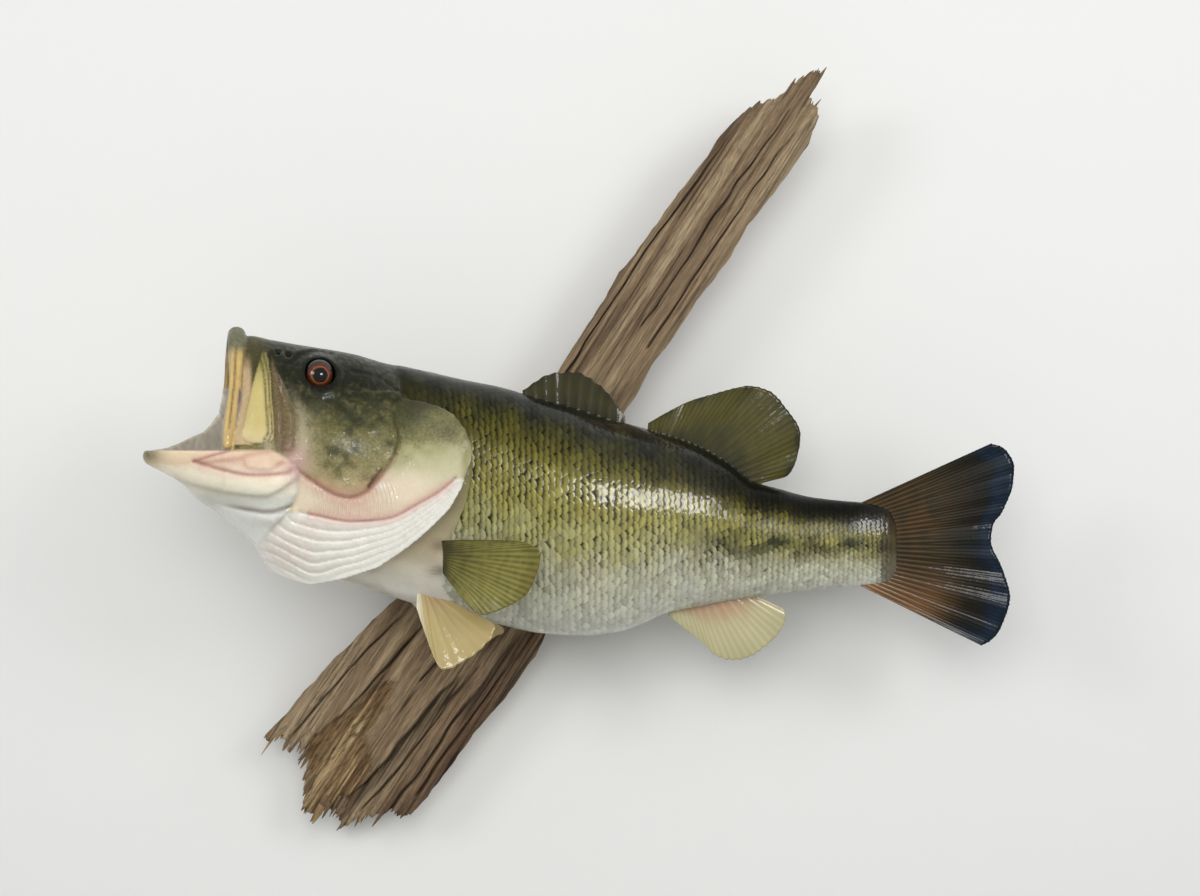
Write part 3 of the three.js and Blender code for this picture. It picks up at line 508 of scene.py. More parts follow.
def head_field(s, y, z):
    """Distance to the surface of head, flaps and front of the trunk, on a grid of columns s, y and z."""
    flat_s, flat_z = np.broadcast_arrays(s[:, :, 0], z[0])

    def side(outline):
        return outline_distance(np.array(outline), flat_s, flat_z)[:, None, :].astype(np.float32)

    lift = relief(flat_s, flat_z)[:, None, :].astype(np.float32) * smooth_step(np.abs(y), 6, 20)
    bare = hull(HEAD_HULL, s, y, z)
    whole, solid = side(COVER_AND_FLAP), side(SOLID_HEAD)
    flesh = smooth_max(bare - lift, whole, 1.2)
    flesh = smooth_max(flesh, side(SNOUT_FRONT), 2.5)
    sheet = 2.5 - 1.1 * bump(np.minimum(whole, 0), 4)
    flesh = smooth_max(flesh, np.minimum(lift - bare - sheet, solid - 2), 1.2)

    across = smooth_step(y, -3, 3)
    rim = side(LEFT_JAW) * (1 - across) + side(RIGHT_JAW) * across
    bare_jaw = hull(JAW_HULL, s, y, z)
    mouth = hull(MOUTH, s, y, z)
    jaw = smooth_max(smooth_max(bare_jaw - lift, rim, 2), -np.maximum(mouth, bare_jaw + LINING_DEPTH), 1.5)
    wall = 2.8 * smooth_step(-s, 196, 206)
    flesh = smooth_max(flesh, -np.maximum(mouth, bare + wall), 2)
    flesh = smooth_min(flesh, jaw, 2)
    plate = smooth_step(-side(BARE_SHOULDER), -0.5, 2.5) * smooth_step(z, -88, -76) * smooth_step(-z, 0, 14)
    trunk = smooth_max(hull(TRUNK, s, y, z) - 1.1 * plate, -mouth, 2)
    flesh = smooth_min(flesh, trunk, 1)

    cut, columns = block((s, y, z), (-255, -135), (-20, 20), (-45, -15))
    flesh[cut] = smooth_min(flesh[cut], mouth_floor(*columns), 2)
    cut, columns = block((s, y, z), (-246, -215), (-46, 46), (-8, 82))
    lip = smooth_max(lip_field(*columns), -1.0 - mouth[cut], 0.8)
    flesh[cut] = smooth_min(flesh[cut], lip, 1.2)

    cut, columns = block((s, y, z), (-236, -205), (-60, 60), (-2, 66))
    here = flat_s[cut[0], cut[2]], flat_z[cut[0], cut[2]]
    bone_side = outline_distance(flowing(MAXILLA + MAXILLA[:1], 4), *here)[:, None, :]
    bone = smooth_max(bare[cut] - 1.0 - 0.9 * smooth_step(-bone_side, 0, 5), bone_side, 1.2)
    flesh[cut] = smooth_min(flesh[cut], np.maximum(bone, -bare[cut] - 4), 0.5)

    for way in (-1, 1):
        cut, (cs, cy, cz) = block((s, y, z), (-200, -165), sorted((way * 8, way * 60)), (26, 62))
        off = np.sqrt((cs - EYE["s"]) ** 2 + (cy - way * EYE["t"]) ** 2 + (cz - EYE["z"]) ** 2)
        opening = np.sqrt((cs - EYE["s"]) ** 2 + (cy - way * 33.5) ** 2 + (cz - EYE["z"] - 1.5) ** 2)
        flesh[cut] = smooth_max(flesh[cut], EYE["radius"] + 0.15 - off, 0.5)
        flesh[cut] = smooth_max(flesh[cut], 8.9 - opening, 1)
    return flesh


def mouth_floor(s, y, z):
    """The tongue and the ridge behind it on the floor of the mouth."""
    tongue = np.sqrt(((s + 222) / 27) ** 2 + (y / (12 + 0.12 * (s + 222))) ** 2 + ((z + 27) / 7) ** 2)
    ridge = np.sqrt(((s + 190) / 40) ** 2 + (y / 6) ** 2 + ((z + 32) / 5) ** 2)
    return smooth_min((tongue - 1) * 7, (ridge - 1) * 5, 3)


def make_skin(cell):
    """The fish's skin as points in the straight fish's millimetres and faces."""
    fore = np.arange(GRID_FROM, BODY_FROM, cell)
    rear = np.arange(BODY_FROM, GRID_TO, BODY_CELL * cell)
    y = np.arange(-GRID_HALF_WIDTH, GRID_HALF_WIDTH + 0.1, cell, np.float32)[None, :, None]
    z = np.arange(GRID_LOW, GRID_HIGH + 0.1, cell, np.float32)[None, None, :]
    field = np.concatenate([
        head_field(fore.astype(np.float32)[:, None, None], y, z),
        hull(TRUNK, rear.astype(np.float32)[:, None, None], y, z)])
    grid = openvdb.FloatGrid(background=FIELD_REACH)
    grid.copyFromArray(np.clip(field, -FIELD_REACH, FIELD_REACH).astype(np.float32))
    corners, triangles, quads = grid.convertToPolygons(isovalue=0, adaptivity=0)
    axes = np.concatenate([fore, rear]), y.ravel(), z.ravel()
    places = [np.interp(corners[:, k], np.arange(len(axis)), axis) for k, axis in enumerate(axes)]
    return np.stack(places, -1), triangles.tolist() + quads.tolist()


# ---------------------------------------------------------------- the markings

PEARL, PINK, DEEP_PINK = tint(229, 226, 215), tint(220, 204, 180), tint(150, 92, 90)
MOUTH_GREY, MOUTH_PAINTED_LIGHT, MOUTH_PINK = tint(156, 140, 130), tint(206, 200, 184), tint(196, 160, 146)
THROAT_SHADE, GILL_RED, PEACH = tint(60, 36, 32), tint(140, 92, 82), tint(198, 172, 132)
LIP_YELLOW, LIP_DARK, MAXILLA_YELLOW = tint(202, 172, 112), tint(72, 60, 34), tint(196, 180, 118)
# Colours up the body, from the belly at 0 to the back at 1.
BODY_BANDS = tones(
    (0, 185, 185, 172), (0.14, 179, 179, 160), (0.3, 166, 164, 136), (0.43, 154, 150, 102),
    (0.58, 138, 131, 67), (0.78, 85, 80, 28), (0.9, 48, 48, 20), (0.98, 28, 31, 22))
# Colours up the bare shoulder, the cheek, the gill cover and the lower jaw, each by z.
SHOULDER_TONES = tones((-110, 214, 213, 206), (-84, 206, 202, 188), (-62, 180, 170, 142),
                       (-30, 146, 137, 100), (-8, 128, 124, 76))
CHEEK_TONES = tones((-30, 188, 164, 134), (-22, 164, 148, 110), (-12, 132, 123, 84), (8, 100, 96, 60),
                    (26, 56, 56, 36), (42, 33, 34, 22), (56, 34, 34, 24), (70, 50, 51, 40))
COVER_TONES = tones((-45, 208, 198, 172), (-12, 190, 184, 150), (-2, 174, 169, 130), (8, 135, 131, 90),
                    (17, 114, 111, 74), (25, 78, 77, 52), (33, 54, 55, 36))
JAW_TONES = tones((-70, 226, 227, 220), (-40, 216, 217, 210), (-31, 198, 197, 186), (-25, 220, 213, 192),
                  (-14, 242, 232, 208), (-8, 222, 198, 168), (2, 230, 214, 178), (8, 204, 192, 172))
# The lower jaw's pink lines, the width and strength of each.
JAW_LINES = {
    "groove_low": (1.2, 0.7), "groove_high": (1.0, 0.7), "roll_high": (2.0, 0.36), "roll_low": (1.6, 0.36),
}
# How thick the lacquer stands along the fish: s and share.
GLOSS_ALONG = [
    (-250, 0.6), (-190, 0.6), (-140, 0.5), (-60, 0.2), (-28, 0.45), (-6, 0.9), (66, 0.95), (88, 0.16),
    (158, 0.1), (172, 0.6), (190, 0.6),
]
# The middle of the dark band along the rear flank: s and share of the height.
BAND_MIDDLE = [(50, 0.45), (85, 0.43), (135, 0.49), (184, 0.5)]
# Where the upper lip and the rear edge of the maxilla run, rows of (z, s).
LIP_RUN = [(10, -237), (40, -233), (70, -230.5)]
MAXILLA_REAR = [(4, -213.5), (9, -211), (29, -212), (45, -212.5), (57, -214.5)]


def body_paint(s, y, z):
    """The body's colours from the dark back to the pale belly."""
    top, bottom = rows_at(TRUNK, s)[:, :2].T
    height = (z - bottom) / (top - bottom)
    p = np.stack([s, y, z], -1)
    height = height + 0.035 * ripple(p, 26, 4) + 0.02 * ripple(p, 9, 5)
    colour = rows_at(BODY_BANDS, height)
    rear = smooth_step(s, -30, 100)
    colour = colour * (1 - 0.86 * (rear * smooth_step(height, 0.6, 0.8)))[:, None]
    band = bump(height - straight_rows(BAND_MIDDLE, s), 0.13)
    band = band * smooth_step(s, 40, 85) * (0.8 + 0.5 * ripple(p, 16, 8))
    colour = lay_over(colour, 0.86 * band, tint(50, 52, 30))
    colour = lay_over(colour, 0.8 * smooth_step(s, 177, 183), tint(62, 52, 32))
    spine = smooth_step(height, 0.9, 0.985) * smooth_step(s, -75, -40)
    colour = lay_over(colour, 0.8 * spine, tint(18, 20, 16))
    nape = smooth_step(-s, 84, 132) * smooth_step(height, 0.6, 0.75) * (1 - 0.7 * smooth_step(-s, 116, 142))
    colour = colour * (1 - 0.62 * nape)[:, None]
    plate = smooth_step(-outline_distance(np.array(BARE_SHOULDER), s, z), -1, 2)
    bone = rows_at(SHOULDER_TONES, z)
    colour = lay_over(colour, plate, bone * (1 + 0.06 * ripple(p, 12, 9))[:, None])
    colour = lay_over(colour, 0.25 * plate * bump(np.hypot(s + 118, z + 60), 16), tint(150, 122, 96))
    # Painted shade in the pit at the root of the pectoral fin.
    fin_root_shade = bump(np.hypot(s + 110, (z + 76) * 1.2), 4.5) + 0.7 * bump(np.hypot(s + 111, z + 60), 3.5)
    return lay_over(colour, 0.8 * fin_root_shade * plate, tint(74, 60, 44))


def cheek_paint(p, height):
    """Olive cheek and head top: dark blotches above, yellow-green flecks and tan skin below."""
    blotch = ripple(p, 20, 11) + 0.8 * ripple(p, 8, 12)
    fleck = ripple(p, 4.5, 13) + 0.6 * ripple(p, 2.6, 14)
    colour = rows_at(CHEEK_TONES, height + 3 * blotch)
    spots = smooth_step(height, -24, -6) * (1 - 0.7 * smooth_step(height, 30, 50))
    colour = lay_over(colour, 0.62 * smooth_step(blotch, 0.1, 1.1) * spots, tint(42, 46, 28))
    return lay_over(colour, 0.2 * smooth_step(fleck - 0.4 * blotch, 0.1, 1.3) * spots, tint(146, 138, 90))


def head_paint(s, y, z):
    """The head's colours: olive top and cheek, pale gill cover, cream jaw and pearly flap."""
    m = side_lines(s, z)
    p = np.stack([s, y, z], -1)
    blotch = ripple(p, 24, 11) + 0.7 * ripple(p, 9, 12)
    fleck = ripple(p, 4.5, 13)
    colour = cheek_paint(p, z)
    front = bump(s + 193 - 0.12 * z, 7) * smooth_step(30 - z, 0, 30)
    colour = lay_over(colour, 0.5 * front, tint(172, 160, 128))
    # Gill cover, paler downwards and backwards.
    cover = smooth_step(-m["cheek_in"], -1.5, 1.5) * (z < 33)
    colour = lay_over(colour, cover, rows_at(COVER_TONES, z - 0.28 * (s + 112) + 2.5 * blotch))
    smudge = bump(np.hypot((s + 108) * 0.8, z - 10), 7) + 0.5 * bump(np.hypot(s + 122, (z - 18) * 0.9), 8)
    colour = lay_over(colour, 0.6 * smudge * cover * (1 + 0.2 * fleck), tint(86, 82, 68))
    near = bump(m["cheek"] - 5, 5) * smooth_step(z, -16, 4) * cover
    colour = lay_over(colour, 0.5 * near * smooth_step(fleck + blotch, -0.6, 0.8), tint(74, 74, 44))
    # The pink strip between the cheek and the opercle's lower line, and the lines themselves.
    strip = smooth_step(-m["cheek_in"], -1, 2) * smooth_step(-14 - z, -5, 8) * (s > -200)
    colour = lay_over(colour, 0.85 * strip * smooth_step(-118 - s, -12, 14), PINK)
    blush = strip * bump(np.hypot((s + 165) / 2.4, z + 37), 8) * (0.8 + 0.5 * fleck)
    colour = lay_over(colour, 0.4 * blush, tint(206, 156, 140))
    colour = lay_over(colour, 0.65 * bump(m["cheek"], 1.4) * smooth_step(4 - z, 0, 24), DEEP_PINK)
    colour = lay_over(colour, 0.6 * bump(m["cheek"], 1.2) * smooth_step(z + 8, 0, 16), tint(46, 46, 26))
    beside = 0.35 * bump(m["cheek"] - 2, 3.5) * smooth_step(-z - 14, 0, 8)
    colour = lay_over(colour, beside, tint(184, 124, 112))
    # Painted shade in a small slit on the gill strip, and a painted highlight on a facet just below it.
    slit_shade = line_distance([(-149, -13), (-153, -18), (-156, -23)], s, z)[0]
    colour = lay_over(colour, 0.85 * bump(slit_shade, 1.3), tint(70, 46, 36))
    colour = lay_over(colour, 0.7 * bump(np.hypot(s + 148, z + 23), 2.6), tint(222, 216, 204))
    # The flap.
    flap = m["membrane"]
    pearl = PEARL * (1 + 0.03 * ripple(p, 7, 15))[:, None]
    colour = lay_over(colour, flap, pearl)
    turn = m["pleat"] - np.floor(m["pleat"])
    # Painted shade in the hollows between the flap's pleats.
    hollow_shade = flap * 0.27 * smooth_step(turn, 0.45, 1.0) * smooth_step(m["free"], 1, 5)
    colour = lay_over(colour, hollow_shade, tint(150, 150, 142))
    rosy = bump(np.hypot((s + 203) / 1.3, z + 62), 12) + 0.8 * bump(np.hypot(s + 190, (z + 46) / 1.2), 8)
    colour = lay_over(colour, flap * 0.27 * rosy * (0.7 + 0.6 * fleck), tint(212, 160, 154))
    colour = lay_over(colour, 0.75 * bump(m["opercle"], 0.9) * (s > -192), tint(166, 100, 100))
    flush = 0.35 * bump(m["opercle"] - 1.5, 2.6) * (s > -192) * (z < -20)
    colour = lay_over(colour, flush, tint(206, 152, 142))
    # Lines behind the eye and round it.
    colour = lay_over(colour, 0.8 * bump(m["dark"], 1.4), tint(26, 27, 18))
    colour = lay_over(colour, 0.6 * bump(np.hypot((s + 180) / 1.25, z - 46), 15), tint(34, 36, 26))
    colour = lay_over(colour, 0.9 * smooth_step(12.2 - m["eye"], 0, 2.6), tint(12, 11, 8))
    behind = line_distance([(-172, 44), (-160, 41), (-150, 38)], s, z)[0]
    colour = lay_over(colour, 0.55 * bump(behind, 5), tint(34, 36, 26))
    # Pocket behind the maxilla.
    pocket = smooth_step(m["pocket_in"], -0.5, 2.2)
    colour = lay_over(colour, 0.9 * pocket, tint(116, 101, 70))
    # Painted shade along a crease down the pocket.
    crease_shade = line_distance([(-209, 54), (-206, 29), (-205, 5), (-206, -1)], s, z)[0]
    colour = lay_over(colour, 0.6 * pocket * bump(crease_shade, 1.3), tint(84, 64, 50))
    rim = bump(m["pocket_in"] + 3, 3) * (z < 46)
    colour = lay_over(colour, 0.6 * rim * smooth_step(44 - z, 0, 40), tint(180, 168, 140))
    corner = bump(np.hypot(s + 199, (z + 9) * 0.8), 7.5)
    colour = lay_over(colour, 0.75 * corner, tint(190, 150, 146))
    # Snout.
    snout = smooth_step(-208 - s + 0.25 * (z - 60), 0, 14) * smooth_step(z, 20, 45)
    return lay_over(colour, 0.5 * snout, tint(92, 88, 52))


def jaw_paint(s, y, z):
    """The lower jaw: cream lip band, pink folds above it, grey-white throat and dark tip."""
    m = side_lines(s, z)
    p = np.stack([s, y, z], -1)
    fleck = ripple(p, 5, 21)
    colour = rows_at(JAW_TONES, z + 1.2 * fleck)
    roll = smooth_step(m["band_above"] - 7, 0, 4) * smooth_step(-s - 200, 0, 8) * smooth_step(s + 262, 0, 8)
    colour = lay_over(colour, 0.4 * roll, tint(214, 178, 160))
    for line, (width, strength) in JAW_LINES.items():
        colour = lay_over(colour, strength * bump(m[line], width), tint(160, 98, 92))
    # Painted highlight on the bulge between the jaw's grooves.
    colour = lay_over(colour, 0.5 * bump(np.hypot((s + 222) / 2, z + 9), 3.4), tint(232, 206, 176))
    # Painted shade along the lower edge of the lip band.
    colour = lay_over(colour, 0.4 * bump(m["band_low"], 2) * (s > -268), tint(140, 138, 116))
    # Painted shade in the fold under the lip band, and under the end of the bulge below it.
    fold = 0.7 * bump(m["fold"], 1.4) * smooth_step(m["fold_along"], 0.1, 0.5)
    colour = lay_over(colour, fold, tint(110, 90, 74))
    colour = lay_over(colour, 0.4 * bump(m["fold_above"] + 8, 4) * bump(s + 205, 14), tint(150, 128, 108))
    corner = bump(np.hypot(s + 200, (z + 14) * 0.9), 6.5)
    colour = lay_over(colour, 0.6 * corner, tint(170, 122, 128))
    tip = bump(np.hypot((s + 283) * 0.7, z + 4), 5.5)
    return lay_over(colour, 0.85 * tip, tint(86, 88, 62))


def lip_paint(s, y, z):
    """Yellow upper lip with dark lines down it, olive where it meets the snout."""
    across = s - straight_rows(LIP_RUN, z)
    uneven = 1 + 0.07 * ripple(np.stack([s, y, z], -1), 5, 23)
    colour = np.tile(LIP_YELLOW, (len(s), 1)) * uneven[:, None]
    for at, strength in ((-0.4, 0.75), (4.6, 0.8)):
        colour = lay_over(colour, strength * bump(across - at, 0.8) * smooth_step(z, 2, 16), LIP_DARK)
    colour = lay_over(colour, 0.7 * smooth_step(-2.2 - across, 0, 1.5), tint(150, 142, 124))
    return lay_over(colour, smooth_step(z, 55, 64), tint(108, 107, 84))


def maxilla_paint(s, z):
    """The pale yellow bone at the corner of the mouth with two dark lines down its rear."""
    rear = straight_rows(MAXILLA_REAR, z)
    colour = np.tile(MAXILLA_YELLOW, (len(s), 1))
    colour = lay_over(colour, 0.8 * smooth_step(z, 34, 56), tint(120, 114, 62))
    colour = lay_over(colour, 0.5 * smooth_step(16 - z, 0, 12), tint(218, 202, 166))
    for at in (3.6, 1.2):
        colour = lay_over(colour, 0.8 * bump(rear - at - s, 0.8), tint(66, 60, 32))
    return colour


def skin_paint(p):
    """The straight fish's colours, how mottled they are, and the turns and strength of its fine folds."""
    s, y, z = p.T
    bare, mouth = hull(HEAD_HULL, s, y, z), hull(MOUTH, s, y, z)
    m = side_lines(s, z)
    covered = outline_distance(np.array(COVER_AND_FLAP), s, z)
    solid = outline_distance(np.array(SOLID_HEAD), s, z)
    colour = body_paint(s, y, z)
    scales_end = smooth_step(-126 - s + 36 * (z < 33) + 3 * ripple(p, 9, 62), 0, 12)
    sunk = 4.5 * smooth_step(m["pocket_in"], -2, 1)
    on_head = smooth_step(-covered, -0.8, 0.4) * smooth_step(bare + sunk, -2.2, -0.6) * scales_end
    # The skin under the scales is painted darker: painted shade in the gaps between the scales.
    shade_under_scales = smooth_step(outline_distance(np.array(BARE_SHOULDER), s, z), 2, 4) * smooth_step(s, -138, -122)
    shade_under_scales *= 1 - 0.7 * smooth_step(s, 172, 180)
    colour = colour * (1 - 0.34 * shade_under_scales)[:, None]
    colour = lay_over(colour, on_head, head_paint(s, y, z))
    # Inside of the gill chamber.
    inner = smooth_step(-bare, 1.3, 2.0) * smooth_step(solid, -1, 2) * smooth_step(-covered, -1, 7)
    colour = lay_over(colour, inner, GILL_RED)
    left_jaw = outline_distance(np.array(LEFT_JAW), s, z)
    right_jaw = outline_distance(np.array(RIGHT_JAW), s, z)
    on_jaw = smooth_step(0.8 - np.where(y < 0, left_jaw, right_jaw), -0.6, 0.8)
    colour = lay_over(colour, on_jaw, jaw_paint(s, y, z))
    ahead = outline_distance(np.array(SNOUT_FRONT), s, z)
    on_lip = smooth_step(ahead, -2.6, -0.8) * (z > -1.5) * (s < -215)
    colour = lay_over(colour, on_lip, lip_paint(s, y, z))
    bone = outline_distance(flowing(MAXILLA + MAXILLA[:1], 4), s, z)
    on_bone = smooth_step(-bone, -0.5, 0.5) * smooth_step(bare, -1, 0.3) * (z > 2)
    membrane = smooth_step(-s - 222, 0, 3) * (z > 2) * (z < 58) * (1 - on_lip) * (1 - on_bone)
    peach = PEACH * (1 + 0.1 * ripple(p, 3.5, 31)).clip(0.7, 1.3)[:, None]
    colour = lay_over(colour, 0.85 * membrane * smooth_step(60 - z, 0, 16), peach)
    colour = lay_over(colour, on_bone, maxilla_paint(s, z))
    # Inside of the mouth, darker towards the throat with painted shade, and its far side painted paler as
    # painted light.
    outside = np.minimum(bare, hull(JAW_HULL, s, y, z))
    carved = np.maximum(mouth, outside + LINING_DEPTH)
    buried = smooth_step(-outside, 0.5, 1.6)
    in_mouth = buried * smooth_step(1.3 - carved, 0, 0.9) * smooth_step(-s - 140, 0, 5)
    in_mouth = in_mouth * (1 - membrane * (y < 0))
    far = smooth_step(-s - 212, 0, 16) * (y > 0)
    uneven = (1 + 0.12 * ripple(p, 5, 33) + 0.1 * ripple(p, 2.2, 34)).clip(0.6, 1.4)
    lining = lay_over(np.tile(MOUTH_GREY, (len(s), 1)), far, MOUTH_PAINTED_LIGHT) * uneven[:, None]
    lining = lay_over(lining, smooth_step(-z - 6, 0, 14) * 0.6, MOUTH_PINK)
    lining = lay_over(lining, smooth_step(s + 200, 0, 45), THROAT_SHADE)
    colour = lay_over(colour, in_mouth, lining)
    mottle = 0.12 + 0.8 * on_head * smooth_step(0.34 - colour.mean(axis=1), 0, 0.2)
    strip = smooth_step(m["cheek"], 1, 3) * smooth_step(m["opercle"], 1, 3)
    strip = strip * (m["cheek_in"] < 0) * (m["membrane"] < 0.5)
    strip *= smooth_step(-z - 20, 0, 5) * smooth_step(-s - 138, 0, 5) * smooth_step(s + 192, 0, 5)
    folds = np.where(m["membrane"] > 0.5, 2 * m["pleat"], (s + 0.014 * (z + 36) ** 2) / 2.5)
    strength = 0.8 * strip + 0.12 * (m["membrane"] > 0.5) * smooth_step(m["free"], 1, 4)
    return colour, mottle * (1 - in_mouth), folds, strength * on_head


def skin_gloss(s, y, z):
    """How thick the lacquer stands: full along the middle of the flank, thin on nape and tail stalk."""
    along = straight_rows(GLOSS_ALONG, s)
    p = np.stack([s, y, z], -1)
    head = smooth_step(-s, 110, 150) * smooth_step(z, -24, -16)
    patchy = 1 - head + head * smooth_step(ripple(p, 4, 52), 0.1, 0.9)
    return np.clip(along * (1 + 0.25 * ripple(p, 11, 51)) * patchy, 0.05, 1)


# ---------------------------------------------------------------- finishes

def node(tree, kind, inputs=None, **settings):
    """A shader node with its settings, each input a plain value or another node's output."""
    made = tree.nodes.new("ShaderNode" + kind)
    for key, value in settings.items():
        setattr(made, key, value)
    for key, value in (inputs or {}).items():
        if isinstance(value, bpy.types.NodeSocket):
            tree.links.new(value, made.inputs[key])
        else:
            made.inputs[key].default_value = value
    return made


def noise(tree, where, scale, detail, roughness=0.5):
    """Fine noise at places, 0 to 1."""
    inputs = {"Vector": where, "Scale": scale, "Detail": detail, "Roughness": roughness}
    return node(tree, "TexNoise", inputs).outputs["Fac"]


def raised(tree, height, strength, distance):
    """A bump node on a height, its distance in metres."""
    return node(tree, "Bump", {"Height": height, "Strength": strength, "Distance": distance})


def spread_out(tree, value, low, high):
    """The middle of a noise's range, 0.3 to 0.7, made to run from low to high."""
    inputs = {"Value": value, "From Min": 0.3, "From Max": 0.7, "To Min": low, "To Max": high}
    return node(tree, "MapRange", inputs).outputs[0]


def finish(name, **values):
    """A new material, its node tree and its shader with plain values set."""
    material = bpy.data.materials.new(name)
    material.use_nodes = True
    tree = material.node_tree
    shader = tree.nodes["Principled BSDF"]
    for key, value in values.items():
        shader.inputs[key.replace("_", " ").title().replace("Ior", "IOR")].default_value = value
    return material, tree, shader


def place(tree):
    """Places in the object's own coordinates."""
    return node(tree, "TexCoord").outputs["Object"]


def attribute(tree, name, output="Fac"):
    """One of the points' attributes."""
    return node(tree, "Attribute", attribute_name=name).outputs[output]


def calc(tree, operation, *values):
    """A sum of two values or of one."""
    return node(tree, "Math", dict(enumerate(values)), operation=operation).outputs[0]


def lacquer(name, skin=False, gloss=False, roughness=0.3, ripples=0.35):
    """Painted skin under lacquer: paint and gloss attributes, fine mottling and a slightly uneven coat."""
    material, tree, shader = finish(name, roughness=roughness, specular_ior_level=0.12, coat_weight=1.0,
                                    coat_roughness=0.06, coat_ior=1.4)
    paint = attribute(tree, "paint", "Color")
    here = place(tree)
    fine = noise(tree, here, 620.0, 3.0, 0.6)
    coat = raised(tree, noise(tree, here, 150.0, 2.0), ripples, 0.0009)
    flesh = raised(tree, fine, 0.3, 0.0004)
    if skin:
        spread = calc(tree, "MULTIPLY", attribute(tree, "mottle"), 0.3)
        low, high = calc(tree, "SUBTRACT", 1.0, spread), calc(tree, "ADD", 1.0, spread)
        level = spread_out(tree, fine, low, high)
        paint = node(tree, "VectorMath", {0: paint, "Scale": level}, operation="SCALE").outputs[0]
        turns = calc(tree, "SINE", calc(tree, "MULTIPLY", attribute(tree, "folds"), 2 * math.pi))
        height = calc(tree, "MULTIPLY", turns, attribute(tree, "fold_strength"))
        folds = raised(tree, height, 1.0, 0.0003).outputs[0]
        for one in (coat, flesh):
            tree.links.new(folds, one.inputs["Normal"])
    if gloss:
        tree.links.new(attribute(tree, "gloss"), shader.inputs["Coat Weight"])
    tree.links.new(paint, shader.inputs["Base Color"])
    tree.links.new(coat.outputs[0], shader.inputs["Coat Normal"])
    tree.links.new(flesh.outputs[0], shader.inputs["Normal"])
    return material


def rim_of(rows, columns):
    """Numbers of the points round the rim of a grid that is numbered row by row."""
    last = rows - 1
    return [*range(columns), *(k * columns + columns - 1 for k in range(1, rows)),
            *(last * columns + k for k in range(columns - 2, -1, -1)),
            *(k * columns for k in range(last - 1, 0, -1))]


# ---------------------------------------------------------------- scales

SCALE_ACROSS = np.array([-0.98, -0.55, 0, 0.55, 0.98])          # shares of a scale's half width
SCALE_SHOWN = np.array([-0.4, 0, 0.2, 0.55, 0.78, 1])           # shares of the part that shows
SCALE_HEIGHT = np.array([0.0, 0.06, 0.17, 0.25, 0.26, 0.16])    # millimetres above the skin there
# Dark margin at each scale's rear rim, and painted shade at its front where it comes out from under the
# scale ahead.
SCALE_SHADE = np.array([0.2, 0.14, 0.46, 1.2, 1.16, 0.3])       # how light it is painted there
SCALE_HALF = 0.64           # half width of a scale, in gaps between rows
SCALE_GAP = 5.9             # gap between rows where the side measures GAP_ROUND millimetres round
GAP_ROUND = 196
SCALES_FROM, SCALES_TO = -136, 188
# Rows of a place and a value: columns along the fish, the lateral line's share of the way round, and, by
# height up the body, how far a scale stands out and how strongly its dark margin and painted shade show.
COLUMN_PITCH = [(0, 1.12), (0.25, 1.1), (1, 0.78)]
LATERAL_LINE = [(-150, 0.30), (-60, 0.33), (40, 0.38), (120, 0.45), (190, 0.5)]
PROUD_BY_HEIGHT = [(0, 0.55), (0.2, 0.8), (0.5, 1.1), (0.8, 1.0), (0.95, 0.55)]
SHADE_BY_HEIGHT = [
    (0, 0.1), (0.15, 0.3), (0.3, 0.5), (0.45, 0.75), (0.6, 1.0), (0.8, 1.0), (0.92, 0.6), (1, 0.3),
]


def jitter(rng, shape, most=2):
    """Normal random numbers, none beyond most."""
    return rng.normal(size=shape).clip(-most, most)


class Flank:
    """One side of the trunk as a sheet of stations and shares of the way round from back to belly."""

    steps = 240

    def __init__(self, side):
        self.stations = np.arange(-150.0, 190.6, 1.0)
        angle = np.linspace(0.5 * math.pi, -0.5 * math.pi, self.steps + 1)
        top, bottom, wide, at, up, down = [c[:, None] for c in rows_at(TRUNK, self.stations).T]
        n = np.where(angle > 0, up, down)
        reach = np.where(angle > 0, top - at, at - bottom)
        y = side * wide * np.abs(np.cos(angle)) ** (2 / n)
        z = at + np.sign(angle) * reach * np.abs(np.sin(angle)) ** (2 / n)
        x = np.broadcast_to(self.stations[:, None], y.shape)
        points = np.stack([x, y, z], -1)
        step = np.linalg.norm(np.diff(points, axis=1), axis=-1)
        length = np.hstack([np.zeros((len(step), 1)), np.cumsum(step, 1)])
        self.round = length[:, -1]
        even = np.linspace(0, 1, self.steps + 1)
        self.points = np.stack([
            np.stack([np.interp(even * self.round[k], length[k], points[k, :, c]) for c in range(3)], -1)
            for k in range(len(self.stations))])
        along = np.gradient(self.points, axis=0)
        across = np.gradient(self.points, axis=1)
        normal = np.cross(along, across) * side
        self.normals = normal / np.maximum(np.linalg.norm(normal, axis=-1, keepdims=True), 1e-9)

    def look(self, s, share):
        """Points and normals at stations s and shares of the way round."""
        i = np.clip((s - self.stations[0]), 0, len(self.stations) - 1.001)
        j = np.clip(share, 0, 1) * self.steps
        i0, j0 = np.floor(i).astype(int), np.minimum(np.floor(j).astype(int), self.steps - 1)
        fi, fj = (i - i0)[..., None], (j - j0)[..., None]
        found = []
        for table in (self.points, self.normals):
            top = table[i0, j0] * (1 - fj) + table[i0, j0 + 1] * fj
            low = table[i0 + 1, j0] * (1 - fj) + table[i0 + 1, j0 + 1] * fj
            found.append(top * (1 - fi) + low * fi)
        return found


